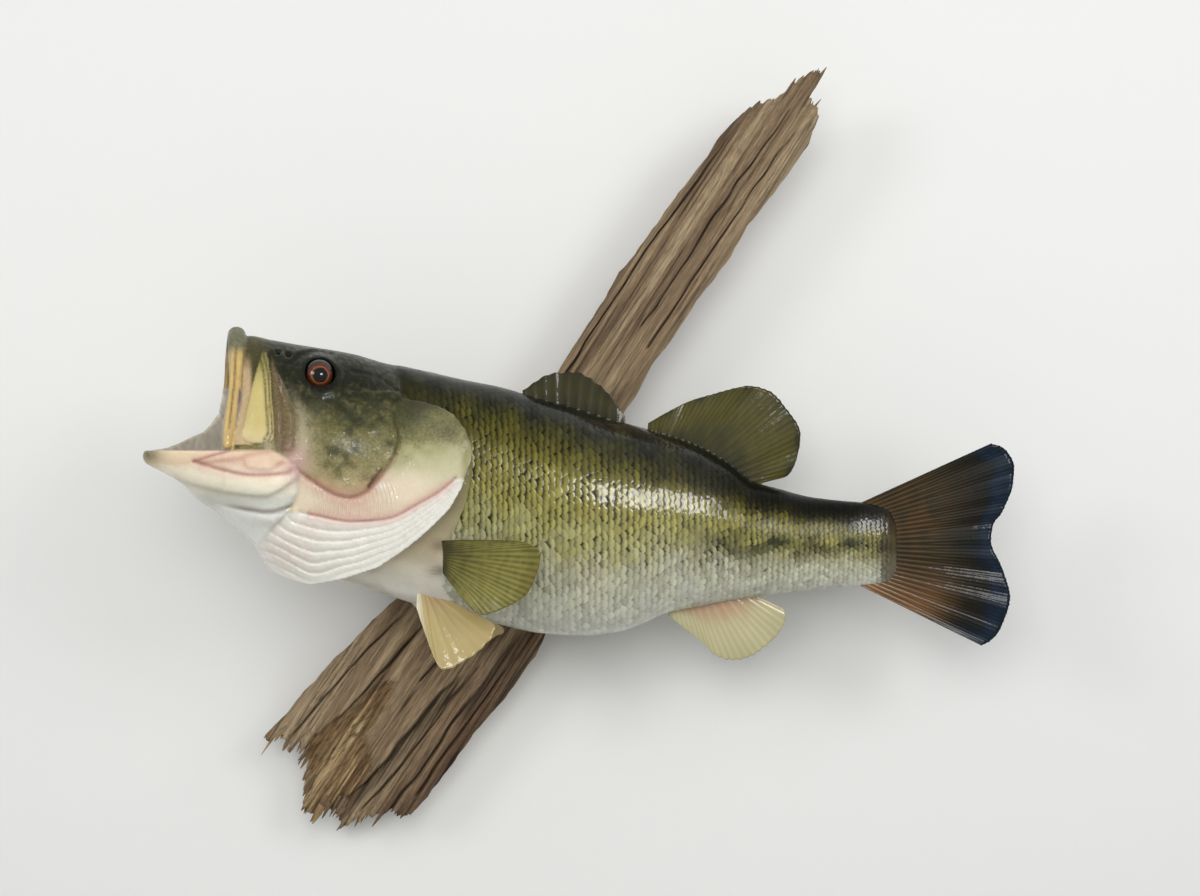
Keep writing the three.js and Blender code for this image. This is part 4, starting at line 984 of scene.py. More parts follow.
def scale_roots(flank, columns):
    """Places of one side's scales: s, signed distance round from the lateral line, length and width."""
    pitch = straight_rows(COLUMN_PITCH, np.linspace(0, 1, columns))
    shares = np.concatenate([[0], np.cumsum(pitch)[:-1]])
    stations = SCALES_FROM + (SCALES_TO - SCALES_FROM) * shares / pitch.sum()
    steps = np.gradient(stations)
    roots = []
    for k, (s, step) in enumerate(zip(stations, steps)):
        round_here = np.interp(s, flank.stations, flank.round)
        gap = SCALE_GAP * (round_here / GAP_ROUND) ** 0.62
        lateral = straight_rows(LATERAL_LINE, s)
        low, high = -lateral * round_here, (1 - lateral) * round_here
        for row in range(math.ceil(low / gap) - 1, math.floor(high / gap) + 2):
            place = (row + 0.5 * (k % 2)) * gap
            if low - 0.2 * gap <= place <= high + 0.2 * gap:
                roots.append((s, place, step, gap, round_here))
    return np.array(roots)


def make_scales(side, columns, seed):
    """One side's scales, each a closed lens with a round rear: points, faces, colours and bake places."""
    flank = Flank(side)
    rng = np.random.default_rng(seed)
    s0, place, step, gap, round_here = scale_roots(flank, columns).T
    share = np.clip(straight_rows(LATERAL_LINE, s0) + place / round_here, 0.004, 0.996)
    centre = flank.look(s0, share)[0]
    keep = s0 > -131 + 5 * ripple(centre, 9, 62)
    for bare, past in ((COVER_AND_FLAP, -2.5), (BARE_SHOULDER, 0.5)):
        keep &= outline_distance(np.array(bare), centre[:, 0], centre[:, 2]) > past
    s0, share, step, gap, round_here, centre, place = (
        a[keep] for a in (s0, share, step, gap, round_here, centre, place))
    count = len(s0)
    s0 = s0 + 0.07 * step * jitter(rng, count)
    share = share + 0.07 * gap / round_here * jitter(rng, count)
    top, bottom = rows_at(TRUNK, s0)[:, :2].T
    height = (centre[:, 2] - bottom) / (top - bottom)
    size = 1 + 0.05 * jitter(rng, count)

    # Along the scale, in column steps: the rear rim is an arc, the front is where the scales ahead end.
    across, shown = np.meshgrid(SCALE_ACROSS, SCALE_SHOWN)
    off = across * SCALE_HALF

    def arc(off):
        return 0.62 - 0.8 * (1 - np.sqrt(np.clip(1 - (off / SCALE_HALF) ** 2, 0, 1)))

    rim = arc(off)
    front = np.maximum(arc(np.abs(off) - 0.5) - 1, rim - 2)
    along = front + shown * (rim - front)
    at = s0[:, None] + (step * size)[:, None] * along.ravel()
    at += 0.12 * step[:, None] * jitter(rng, (count, 1)) * across.ravel()
    points, normals = flank.look(at, share[:, None] + off.ravel() * (gap * size / round_here)[:, None])
    proud = straight_rows(PROUD_BY_HEIGHT, height) * np.clip(step / 4.6, 0.6, 1.1)
    nape = smooth_step(s0 + 40 * smooth_step(0.6 - height, 0, 0.2), -134, -96)
    proud *= 0.4 + 0.6 * nape
    rise = np.repeat(SCALE_HEIGHT, len(SCALE_ACROSS)) * (1 - 0.25 * across.ravel() ** 2)
    tilt = 0.08 * rng.normal(size=(count, 1)) * along.ravel()
    points = points + normals * (rise * proud[:, None] + tilt)[..., None]
    under, _ = flank.look(s0 - 0.2 * step, share)
    under -= normals[:, len(SCALE_ACROSS) // 2] * 0.55
    together = np.concatenate([points, under[:, None]], 1).reshape(-1, 3)

    # The grid of the outside, and a fan from its rim to the one point under it.
    wide, long = len(SCALE_ACROSS), len(SCALE_SHOWN)
    each = wide * long + 1
    quads = [(j * wide + i, j * wide + i + 1, (j + 1) * wide + i + 1, (j + 1) * wide + i)
             for j in range(long - 1) for i in range(wide - 1)]
    edge = rim_of(long, wide)
    fan = [(q, p, each - 1) for p, q in zip(edge, edge[1:] + edge[:1])]
    turn = -1 if side > 0 else 1
    faces = [tuple(k + i * each for k in face)[::turn] for i in range(count) for face in quads + fan]

    base = body_paint(*centre.T)
    # How dark each scale's rear margin and the painted shade at its front are.
    depth = straight_rows(SHADE_BY_HEIGHT, height)
    depth *= (1 + 0.3 * jitter(rng, count) + 0.3 * ripple(centre, 20, 61)) * (0.3 + 0.7 * nape)
    stroke = 0.6 + 0.6 * bump(across.ravel() - 0.45 * jitter(rng, (count, 1), 1.6), 0.9)
    shade = 1 + (np.repeat(SCALE_SHADE, wide) - 1) * (depth[:, None] * stroke).clip(0, 1.12)
    shade = shade * (1 + 0.11 * jitter(rng, (count, 1)))
    line = (np.abs(place) < 0.3 * gap) & (s0 > -90)
    shade[line] *= 1 + 0.16 * bump(across.ravel(), 0.4)
    colour = base[:, None, :] * shade[..., None]
    # The point under each scale is painted darker, as painted shade under its rim.
    colour = np.concatenate([colour, 0.42 * base[:, None, :]], 1).reshape(-1, 3)
    unwrap = np.stack([(s0 + 300) / 600, 0.02 + 0.46 * share + (0.5 if side < 0 else 0)], -1)
    local = np.stack([(shown - 0.5).ravel() * 0.003, across.ravel() * 0.0015], -1)
    uv = np.concatenate([unwrap[:, None] + local[None], unwrap[:, None]], 1).reshape(-1, 2)
    return together, faces, colour, uv


def lay_uv(obj, uv):
    """Gives the object its map for the bake from a place for every point."""
    layer = obj.data.uv_layers.new(name="OFBake")
    loops = np.zeros(len(obj.data.loops), np.int32)
    obj.data.loops.foreach_get("vertex_index", loops)
    layer.data.foreach_set("uv", uv[loops].astype(np.float32).ravel())


# ---------------------------------------------------------------- fins

# Each fin runs from its root line to its margin, rows of (s, z) on the middle line or (s, z, t) beside it.
# It has a number of rays, half its thickness at root and margin, how ragged its margin is, how far its rays
# stand out, how far it waves and which way it leans.
UPRIGHT = {"ragged": 0.0, "spiny": 0.0, "lean": (0, -1, 0)}
FINS = {
    "first_dorsal_fin": {
        "root": [(-48, 27), (-15, 19), (17, 11)],
        "margin": [(-50, 37), (-35, 47), (-23, 49), (-11, 48), (4, 37), (16, 20.5)],
        "rays": 10, "thick": (0.9, 0.4), "crest": 0.3, "wave": 0.5, "spiny": 1.0,
    },
    "second_dorsal_fin": {
        "root": [(30, 6), (64, -7), (95, -28)],
        "margin": [(31, 16), (43, 23), (57, 30), (73, 35), (88, 39), (99, 40), (111, 36), (120, 26),
                   (128, 14), (129, 4), (127, -6), (124, -14), (119, -19), (108, -20)],
        "rays": 19, "thick": (1.4, 0.35), "ragged": 0.01, "crest": 0.26, "wave": 1.2,
    },
    "anal_fin": {
        "root": [(44, -97), (70, -93), (97, -89)],
        "margin": [(44, -108), (64, -124), (75, -134), (86, -137), (98, -134), (109, -126), (117, -117),
                   (120, -108), (117, -103), (109, -100), (101, -97)],
        "rays": 13, "thick": (1.4, 0.35), "ragged": 0.02, "crest": 0.34, "wave": 1.0,
    },
    "caudal_fin": {
        "root": [(164, -37), (181, -50), (183, -62), (181, -76), (166, -88)],
        "margin": [(250, 3), (258, 0), (264, -9), (264, -20), (262, -29), (257, -41), (252, -48),
                   (250, -57), (251, -64), (256, -74), (260, -85), (262, -95), (260, -104), (256, -115),
                   (250, -123), (244, -126)],
        "rays": 27, "thick": (2.2, 0.35), "ragged": 0.006, "crest": 0.2, "wave": 1.4,
    },
    "pectoral_fin_left": {
        "root": [(-109, -57, 39), (-108.5, -66, 36), (-107, -77, 31)],
        "margin": [(-94, -56, 50), (-63, -56, 61), (-50, -57, 64), (-40, -60, 66), (-37, -64, 66),
                   (-39, -73, 64), (-44, -84, 62), (-52, -92, 60), (-69, -99, 56), (-81, -102, 52),
                   (-90, -98, 46), (-98, -90, 41)],
        "rays": 17, "thick": (1.3, 0.35), "ragged": 0.008, "crest": 0.24, "wave": 0.8,
        "lean": (-0.35, -1, 0),
    },
    "pectoral_fin_right": {
        "root": [(-111, -66, -33), (-110, -73, -31), (-108, -80, -28)],
        "margin": [(-99, -74.6, -35.5), (-84, -86.5, -35.8), (-72, -96.5, -35.5), (-66, -105, -34.5),
                   (-70, -111, -33), (-80, -113, -32), (-92, -109, -31.5), (-101, -100.5, -31),
                   (-106, -92, -30.5)],
        "rays": 12, "thick": (1.0, 0.3), "ragged": 0.008, "crest": 0.3, "wave": 0.5, "lean": (-0.1, 1, 0.3),
    },
    "pelvic_fin_left": {
        "root": [(-121, -90, 18), (-114, -91, 17), (-108, -92, 15)],
        "margin": [(-122, -100, 22), (-117, -117, 28), (-113, -129, 32), (-108, -137, 34), (-100, -136, 34),
                   (-91, -132, 33), (-79, -125, 32), (-71, -117, 30), (-71, -110, 27), (-90, -102, 21)],
        "rays": 7, "thick": (1.5, 0.45), "ragged": 0.02, "crest": 0.4, "wave": 0.6, "lean": (0.2, -1, 0.5),
    },
    "pelvic_fin_right": {
        "root": [(-121, -90, -18), (-114, -91, -17), (-108, -92, -15)],
        "margin": [(-118, -100, -22), (-104, -116, -27), (-96, -127, -30), (-88, -131, -31),
                   (-78, -130, -31), (-68, -126, -30), (-60, -121, -28), (-66, -115, -24), (-92, -103, -19)],
        "rays": 7, "thick": (1.5, 0.45), "ragged": 0.02, "crest": 0.4, "wave": 0.6, "lean": (0.2, 1, 0.5),
    },
}
COLUMNS_PER_RAY, FIN_ROWS = 12, 36
# Colours of the fins from root to margin, the name and gloss of each slot's finish, and the fins' slots.
FIN_TONES = {
    "first": tones((0, 16, 16, 8), (0.25, 40, 37, 13), (0.6, 54, 50, 18), (1, 42, 39, 15)),
    "second": tones((0, 22, 24, 11), (0.2, 50, 48, 16), (0.7, 77, 71, 19), (0.95, 68, 63, 22),
                    (1, 46, 44, 20)),
    "anal": tones((0, 186, 142, 119), (0.3, 184, 157, 126), (0.6, 186, 179, 142), (1, 175, 170, 130)),
    "caudal": tones((0, 50, 41, 22), (0.2, 46, 34, 12), (0.6, 34, 25, 8), (0.76, 22, 19, 8),
                    (0.85, 10, 22, 32), (0.93, 13, 36, 56), (1, 10, 27, 42)),
    "pectoral": tones((0, 72, 66, 34), (0.2, 108, 102, 50), (0.75, 136, 130, 66), (1, 120, 112, 52)),
    "pelvic": tones((0, 178, 150, 112), (0.4, 181, 163, 110), (1, 174, 156, 106)),
}
FIN_FINISHES = {
    "olive_fin": ("Olive Fin", 0.5), "pale_fin": ("Pale Fin", 0.8), "tail_fin": ("Tail Fin", 0.28),
}
FIN_SLOTS = {"caudal": "tail_fin", "anal": "pale_fin", "pelvic": "pale_fin"}


def even_curve(points, count):
    """A smooth curve through points, cut in equal lengths."""
    fine = flowing(points, 24)
    length = np.concatenate([[0], np.cumsum(np.linalg.norm(np.diff(fine, axis=0), axis=1))])
    at = np.linspace(0, length[-1], count)
    return np.stack([np.interp(at, length, fine[:, k]) for k in range(fine.shape[1])], -1)


def make_fin(name, seed):
    """A fin's points, faces and marks of its rays, in the straight fish."""
    fin = UPRIGHT | FINS[name]
    rays, spiny = fin["rays"], fin["spiny"]
    rng = np.random.default_rng(seed)
    columns, steps = rays * COLUMNS_PER_RAY + 1, FIN_ROWS
    to_yz = np.array([[1, 0, 0], [0, 0, 1], [0, -1, 0]])
    root, margin = (even_curve([(*place, 0)[:3] for place in fin[key]], columns) @ to_yz
                    for key in ("root", "margin"))
    phase = np.linspace(0, rays, columns)
    ray = 0.5 + 0.5 * np.cos(2 * math.pi * phase)
    twig = 0.5 + 0.5 * np.cos(4 * math.pi * phase)
    lean = np.array(fin["lean"], float)
    lean /= np.linalg.norm(lean)
    out = np.linspace(0, 1, steps)[None, :]
    notch = np.interp(phase, np.arange(rays + 1), rng.uniform(0, 1, rays + 1))
    ragged = 1 - (0.3 * fin["ragged"] + 0.03 * spiny) * (1 - ray) - fin["ragged"] * notch * (1 - twig)
    tips = root + (margin - root) * ragged[:, None]
    middle = root[:, None, :] + (tips - root)[:, None, :] * out[..., None]
    split = smooth_step(out, 0.3, 0.6) * (1 - spiny)
    ridge = ray[:, None] ** 2 * (1 - split) + twig[:, None] ** 1.6 * split
    joints = np.sin(out * steps * 1.57 + 2 * phase[:, None])
    thick = fin["thick"][0] * (1 - out) + fin["thick"][1] * out
    crest = fin["crest"] * ridge * (1 - 0.6 * out) * (1 + 0.1 * joints * split)
    close = smooth_step(np.minimum(phase, rays - phase), -0.01, 0.15)[:, None] * 0.6 + 0.4
    half = (0.6 * thick + crest) * close
    wave = np.sin(phase * 0.9 + 1.3)[:, None] * 0.8 + 0.45 * np.sin(phase * 2.1 + seed)[:, None]
    middle = middle + lean * (wave * out ** 2 * fin["wave"])[..., None]
    points = np.concatenate([(middle + way * lean * half[..., None]).reshape(-1, 3) for way in (1, -1)])
    faces = sheet_faces(columns, steps)
    if np.cross(root[-1] - root[0], tips[columns // 2] - root[columns // 2]) @ lean > 0:
        faces = faces[:, ::-1]
    marks = {"out": out, "ridge": ridge, "across": (phase / rays)[:, None], "twig": twig[:, None]}
    marks = {key: np.tile(np.broadcast_to(value, (columns, steps)).ravel(), 2)
             for key, value in marks.items()}
    return points, faces, marks


def sheet_faces(rows, columns):
    """Faces of a closed sheet: two grids of points, front and then back, joined round their rim."""
    n = rows * columns
    i, j = np.meshgrid(np.arange(rows - 1), np.arange(columns - 1), indexing="ij")
    a = (i * columns + j).ravel()
    quads = np.stack([a, a + 1, a + columns + 1, a + columns], -1)
    rim = rim_of(rows, columns)
    walls = np.array([(p, p + n, q + n, q) for p, q in zip(rim, rim[1:] + rim[:1])])
    return np.concatenate([quads, quads[:, ::-1] + n, walls])


def fin_paint(name, p, g):
    """Colours of a fin from its root to its margin, its rays and its membrane."""
    out, across, ridge = g["out"], g["across"], g["ridge"]
    kind = name.split("_")[0]
    speck, blotch = ripple(p, 5, 41), ripple(p, 14, 42)
    uneven = {"caudal": 0.05, "anal": 0.06, "pelvic": 0.06}.get(kind, 0.08)
    colour = rows_at(FIN_TONES[kind], out + uneven * blotch)
    if kind == "caudal":
        warm = smooth_step(across, 0.6, 1.0) * smooth_step(0.72 - out, 0, 0.35)
        colour = lay_over(colour, 0.8 * warm, tint(146, 104, 68))
        glow = bump(across - 0.3, 0.3) * smooth_step(0.62 - out, 0, 0.3) * np.clip(0.6 + 0.7 * blotch, 0, 1)
        colour = lay_over(colour, 0.55 * glow, tint(92, 58, 18))
        colour = lay_over(colour, 0.35 * ridge * smooth_step(0.8 - out, 0, 0.4), tint(96, 82, 44))
        return lay_over(colour, 0.66 * (1 - ridge) ** 2 * smooth_step(out, 0.0, 0.2), tint(17, 15, 10))
    if kind == "anal":
        return lay_over(colour, 0.3 * (1 - ridge), tint(150, 136, 92))
    if kind == "pelvic":
        colour = lay_over(colour, 0.75 * bump(across, 0.14), tint(232, 228, 212))
        return lay_over(colour, 0.25 * (1 - ridge), tint(168, 140, 92))
    colour = lay_over(colour, 0.5 * (1 - ridge) ** 2 + 0.12 * speck, tint(44, 44, 20))
    if kind == "pectoral":
        colour = lay_over(colour, 0.8 * bump(across, 0.03), tint(26, 26, 14))
    return colour


# ---------------------------------------------------------------- the board

# u runs up along the board, v across it to the right and d out of the wall, in millimetres.
BOARD_AXIS = np.array([0.545, 0, 0.8384])
BOARD_ACROSS = np.array([0.8384, 0, -0.545])
OUT_OF_WALL = np.array([0, -1.0, 0])
BOARD_ROWS, BOARD_COLUMNS = 188, 260
FACE_LEVEL, FACE_SLOPE = 46, 0.054      # level of its face where u is 0, and how it rises with u
BOARD_THICK, LEAST_THICK, LEAST_DEPTH = 30, 1.0, 2.6
EVEN_FROM, EVEN_TO = -196.0, 262.0      # between these its rows are even
BACK_SHIFT = 400                        # the back has the grain of another stretch of board
TROUGH = [(-252, 7), (-224, 14), (-193, 18), (-154, 22), (-133, 27)]
BOARD_LEFT = [
    (-300, -62), (-241, -62), (-216, -57), (-187, -54), (-157, -47), (-135, -43), (-113, -37), (-72, -33),
    (0, -31), (72, -29), (150, -30), (210, -26), (269, -22), (300, -20), (340, -20),
]
BOARD_RIGHT = [
    (-300, 52), (-241, 52), (-210, 53), (-190, 54), (-146, 57), (-125, 60), (-93, 62), (-78, 59), (0, 40),
    (75, 23), (105, 22), (130, 22), (167, 23), (198, 25), (228, 24), (269, 28), (340, 28),
]
# Ends of the board across its width: v, u.
BOARD_LOW_END = [
    (-62, -241), (-56, -240), (-52, -233), (-48, -235), (-44, -233), (-42, -238), (-40, -231), (-36, -229),
    (-33, -236), (-31, -243), (-29, -232), (-26, -240), (-22, -252), (-19, -256), (-15, -262), (-10, -270),
    (-5, -268), (0, -262), (6, -255), (12, -259), (18, -260), (22, -250), (26, -248), (30, -246), (34, -238),
    (38, -234), (42, -236), (46, -231), (49, -229), (53, -210),
]
BOARD_HIGH_END = [
    (-21, 272), (-19, 285), (-15, 292), (-11, 297), (-6, 304), (-2, 316), (2, 326), (6, 330), (9, 332),
    (11, 316), (14, 312), (18, 313), (21, 310), (24, 306), (26, 298), (28, 288),
]
BOARD_CRACKS = [  # points of (u, v), depth, half width
    ([(-133, 27), (-154, 22), (-193, 18), (-224, 14), (-252, 7)], 6, 1.1),
    ([(-126, 43), (-159, 40), (-200, 39), (-236, 36)], 4.5, 0.9),
    ([(-120, 34), (-152, 30), (-190, 28), (-222, 25), (-244, 20)], 3.5, 0.8),
    ([(275, -17), (232, -20), (176, -23), (117, -24), (60, -24)], 5, 0.9),
    ([(300, 6), (262, 4), (215, 2), (170, 3), (130, 1)], 3.5, 0.7),
    ([(290, 16), (250, 14), (190, 13), (120, 12)], 3, 0.6),
    ([(-100, -10), (-140, -16), (-170, -20), (-200, -26)], 3.5, 0.8),
    ([(-90, 12), (-120, 10), (-150, 6)], 3, 0.7),
    ([(-105, -25), (-150, -34), (-200, -43), (-236, -47)], 3, 0.7),
    ([(-100, 50), (-150, 48), (-215, 45)], 3.5, 0.7),
]
FRESH_WOOD = [
    (-163, -13), (-159, -7), (-187, -3), (-199, -5), (-205, -3), (-213, 7), (-221, 13), (-270, 4),
    (-280, -16), (-233, -36), (-219, -33),
]
SPLINTERS = ((BOARD_LOW_END, 46, -1), (BOARD_HIGH_END, 16, 1))      # end, how many, which way
SPLINTER_SHARES = (0, 0.35, 0.7, 0.93)
SPLINTER_SEED = 90
WOOD_TONES = tones((-1.4, 98, 78, 58), (-0.5, 126, 106, 82), (0.2, 146, 126, 98), (1.4, 172, 152, 122))
FRESH_TONES = tones((-1, 96, 74, 50), (0, 140, 114, 80), (1, 190, 166, 124))


def lattice(u, v, long, wide, seed):
    """Soft random waves stretched along the grain, about -1 to 1."""
    rng = np.random.default_rng(seed)
    table = rng.uniform(-1, 1, (64, 256))
    a, b = u / long + 31.7, v / wide + 97.3
    i, j = np.floor(a).astype(int), np.floor(b).astype(int)
    f, g = a - i, b - j
    f, g = f * f * (3 - 2 * f), g * g * (3 - 2 * g)
    i0, i1, j0, j1 = i % 64, (i + 1) % 64, j % 256, (j + 1) % 256
    return ((table[i0, j0] * (1 - f) + table[i1, j0] * f) * (1 - g)
            + (table[i0, j1] * (1 - f) + table[i1, j1] * f) * g)


def grain(u, v):
    """Height of the weathered grain in millimetres and how deep a place lies in it, 0 to 1, which is painted
    as shade.
    """
    bent = v + 1.6 * lattice(u, v * 0, 90, 1, 1) + 0.8 * lattice(u, v, 45, 9, 2)
    broad = lattice(u, bent, 150, 11, 3) * 1.8 + lattice(u, bent, 90, 5, 4) * 1.1
    fine = lattice(u, bent, 60, 2.2, 5) * 0.55 + lattice(u, bent, 34, 1.1, 6) * 0.3
    split = np.abs(lattice(u, bent, 120, 3.4, 7))
    crack = bump(split, 0.11) * smooth_step(lattice(u, bent, 70, 12, 8), -0.1, 0.5)
    thin = bump(lattice(u, bent, 80, 2.3, 9), 0.15) * smooth_step(lattice(u, bent, 50, 6, 10), -0.3, 0.5)
    height = broad + fine - 1.7 * crack - 0.7 * thin
    return height, np.clip(0.75 * crack + 0.55 * thin + 0.3 * (0.2 - fine), 0, 1)


def board_face(u, v):
    """Height of the board's face above its level, and its colour marks: depth of shade and fresh wood."""
    height, shade = grain(u, v)
    for line, depth, half in BOARD_CRACKS:
        far, along = line_distance(flowing(line), u, v + 0.9 * lattice(u, v, 14, 6, 12))
        far = far / (0.55 + 0.6 * smooth_step(lattice(u, v, 30, 20, 17), -0.8, 0.8))
        trench = bump(far / half, 1) * (0.4 + 0.6 * smooth_step(along, 0, 0.3))
        height = height - depth * trench
        # Painted shade down each crack.
        shade = np.maximum(shade, np.clip(0.95 * trench, 0, 1))
    # The trough beside the torn place and the thin ridges right of it, with painted shade in the trough and
    # between the ridges.
    trough = straight_rows(TROUGH, u)
    ridges, low = lattice(u, v, 75, 1.1, 61), smooth_step(-u, 118, 160)
    dark = smooth_step(v - trough, -1.5, 1.5) * smooth_step(trough + 11 - v, 0, 7) * low
    rough = low * smooth_step(v - trough, -2, 2)
    height = height + rough * (0.7 * ridges - 1.4 * dark)
    hollow_shade = dark * (0.8 - 0.5 * ridges) + 0.7 * rough * smooth_step(-ridges, 0.1, 0.9)
    shade = np.maximum(shade, np.clip(hollow_shade, 0, 1))
    # The torn place, where layers have split off in steps.
    torn = outline_distance(np.array(FRESH_WOOD), u, v + 2 * lattice(u, v, 12, 2.5, 13))
    fresh = smooth_step(-torn, -0.5, 1.0)
    level = 2.5 + 1.6 * lattice(u, v, 70, 3.0, 14) + 1.3 * lattice(u, v, 34, 1.4, 15)
    level = level + 0.5 * lattice(u, v, 7, 2.5, 16)
    edge = level - np.floor(level)
    height = height * (1 - 0.5 * fresh) - fresh * (2.5 + 1.1 * np.floor(level))
    # Painted shade along the edges of the torn steps.
    gaps = fresh * bump(np.minimum(edge, 1 - edge), 0.12)
    return height, np.maximum(shade * (1 - 0.5 * fresh), 0.75 * gaps), fresh


def make_board():
    """The board's rows and columns: u, v, its front and back, how shaded and how fresh its face is."""
    side_share = np.linspace(0, 1, BOARD_COLUMNS)
    # u of each row: even in the middle, stretched to each column's own broken end.
    row = np.interp(np.linspace(-1, 1, BOARD_ROWS), [-1, -0.78, 0.82, 1], [-1, 0, 1, 2])[:, None]
    v_low, v_high = -60 + 112 * side_share, -21 + 49 * side_share
    low = straight_rows(BOARD_LOW_END, v_low) + 2.6 * lattice(v_low * 0, v_low * 3, 1, 2.4, 21)
    high = straight_rows(BOARD_HIGH_END, v_high) + 2.4 * lattice(v_high * 0, v_high * 3, 1, 2.0, 22)
    u = np.where(row < 0, EVEN_FROM + (EVEN_FROM - low) * row,
                 np.where(row > 1, EVEN_TO + (high - EVEN_TO) * (row - 1),
                          EVEN_FROM + (EVEN_TO - EVEN_FROM) * row))
    left, right = straight_rows(BOARD_LEFT, u), straight_rows(BOARD_RIGHT, u)
    ragged = 0.9 * lattice(u, u * 0, 16, 1, 23) + 0.5 * lattice(u, u * 0, 5, 1, 24)
    ragged_right = 0.9 * lattice(u, u * 0 + 9, 18, 1, 25) + 0.5 * lattice(u, u * 0 + 9, 6, 1, 26)
    v = left + ragged + (right + ragged_right - left - ragged) * side_share
    height, shade, fresh = board_face(u, v)
    level = FACE_LEVEL + FACE_SLOPE * u
    from_edge = np.minimum(v - left, right - v)
    rounded = bump(np.maximum(from_edge, 0), 3.2)
    thin = smooth_step(np.minimum(u - low, high - u), -1, 16)
    front = level - 5.5 * rounded + height * (0.35 + 0.65 * smooth_step(from_edge, 0, 3))
    behind, _ = grain(u + BACK_SHIFT, v * 0.8 + 60)
    depth = BOARD_THICK * (0.22 + 0.78 * thin) - 2 * (1 - thin)
    back = level - depth + 0.5 * behind + 3.5 * rounded
    front = front - 3.0 * (1 - thin)
    back = np.maximum(np.minimum(back, front - 1.2), LEAST_DEPTH)
    front = np.maximum(front, back + LEAST_THICK)
    return u, v, front, back, shade, fresh


def board_points(u, v, depth):
    """Places in the room of places on the board."""
    return u[..., None] * BOARD_AXIS + v[..., None] * BOARD_ACROSS + depth[..., None] * OUT_OF_WALL


def wood_paint(u, v, shade, fresh):
    """Weathered wood, darker where it is shaded and yellow where it is fresh."""
    colour = rows_at(WOOD_TONES, lattice(u, v, 130, 7, 51) + 0.6 * lattice(u, v, 50, 1.6, 52))
    streak = smooth_step(lattice(u, v, 40, 0.9, 53), 0.1, 0.8)
    colour = lay_over(colour, 0.4 * streak, tint(84, 64, 46))
    colour = lay_over(colour, fresh, rows_at(FRESH_TONES, lattice(u, v, 26, 1.3, 54)))
    right_low = smooth_step(-u - 90, 0, 60) * smooth_step(v, 26, 34)
    colour = lay_over(colour, 0.5 * right_low, tint(88, 62, 42))
    return lay_over(colour, 0.9 * shade, tint(36, 25, 18))


def make_splinters():
    """Slender shards that stand out of both broken ends: points u, v and d, faces and how fresh each is."""
    rng = np.random.default_rng(SPLINTER_SEED)
    points, faces, marks = [], [], []
    for end, count, way in SPLINTERS:
        table = np.array(end, float)
        for _ in range(count):
            v0 = rng.uniform(table[0, 0] + 2, table[-1, 0] - 3)
            edge = np.interp(v0, *table.T)
            back, out = rng.uniform(7, 16), rng.uniform(1, 8) * (1 if rng.uniform() < 0.85 else 1.9)
            wide, thick = rng.uniform(0.8, 2.8), rng.uniform(0.5, 1.3)
            slant, droop = rng.uniform(-0.16, 0.16), rng.uniform(-0.12, 0.1)
            depth = FACE_LEVEL + FACE_SLOPE * edge - rng.uniform(2.5, 9.5)
            start, length = len(points), back + out
            for share in SPLINTER_SHARES:
                u = edge + way * (share * length - back)
                size = (1 - share ** 2.2) * (0.9 + 0.2 * rng.uniform())
                v, d = v0 + slant * share * length, depth + droop * share * length
                first = len(points)
                points += [(u, v - wide * size, d), (u, v, d + thick * size), (u, v + wide * size, d),
                           (u, v, d - thick * size)]
                if share:
                    ring = [(k, (k + 1) % 4) for k in range(4)]
                    faces += [(first - 4 + a, first - 4 + b, first + b, first + a)[::way] for a, b in ring]
            faces += [tuple(range(start, start + 4))[::-way], tuple(range(first, first + 4))[::way]]
            marks += [rng.uniform() < 0.4] * (len(points) - start)
    return *np.array(points, float).T, faces, np.array(marks, float)


def eye_paint(points, side, iris):
    """Colours of an eyeball, and how many degrees each point is off the line of sight."""
    sight = np.array([-0.06, side, 0.03])
    sight /= np.linalg.norm(sight)
    unit = points / np.linalg.norm(points, axis=1, keepdims=True)
    off = np.degrees(np.arccos(np.clip(unit @ sight, -1, 1)))
    swirl = np.arctan2(unit[:, 2], unit[:, 0])
    streaks = 1 + 0.3 * np.sin(swirl * 23 + 2 * np.sin(swirl * 7)) * bump(off - 34, 10)
    colour = np.tile(iris, (len(off), 1)) * streaks[:, None]
    colour = lay_over(colour, 0.6 * bump(off - 29, 2.2), tint(178, 112, 60))
    colour = lay_over(colour, 0.5 * bump(off - 41, 4), tint(52, 24, 14))
    colour = lay_over(colour, smooth_step(27 - off, 0, 1.5), tint(5, 4, 4))
    return lay_over(colour, smooth_step(off, 44, 48), tint(12, 9, 7)), off


def fin_finish(name, gloss):
    """Painted fin: colour from the paint attribute, with so much gloss over it."""
    material = lacquer(name, roughness=0.4, ripples=0.2)
    material.node_tree.nodes["Principled BSDF"].inputs["Coat Weight"].default_value = gloss
    return material


def along_board(tree, stretch):
    """Object coordinates turned so that z runs along the board, and stretched that way."""
    turn = (0, math.atan2(BOARD_AXIS[0], BOARD_AXIS[2]), 0)
    return node(tree, "Mapping", {"Vector": place(tree), "Rotation": turn, "Scale": (1, 1, stretch)},
                vector_type="TEXTURE").outputs[0]


def wood_finish():
    """Weathered driftwood: painted tones with fine fibres along the grain, no gloss."""
    material, tree, shader = finish("Driftwood", roughness=0.86, specular_ior_level=0.25)
    fibre = noise(tree, along_board(tree, 24), 1500.0, 3.0, 0.6)
    level = spread_out(tree, fibre, 0.6, 1.36)
    paint = attribute(tree, "paint", "Color")
    colour = node(tree, "VectorMath", {0: paint, "Scale": level}, operation="SCALE").outputs[0]
    tree.links.new(colour, shader.inputs["Base Color"])
    tree.links.new(raised(tree, fibre, 0.7, 0.0007).outputs[0], shader.inputs["Normal"])
    return material


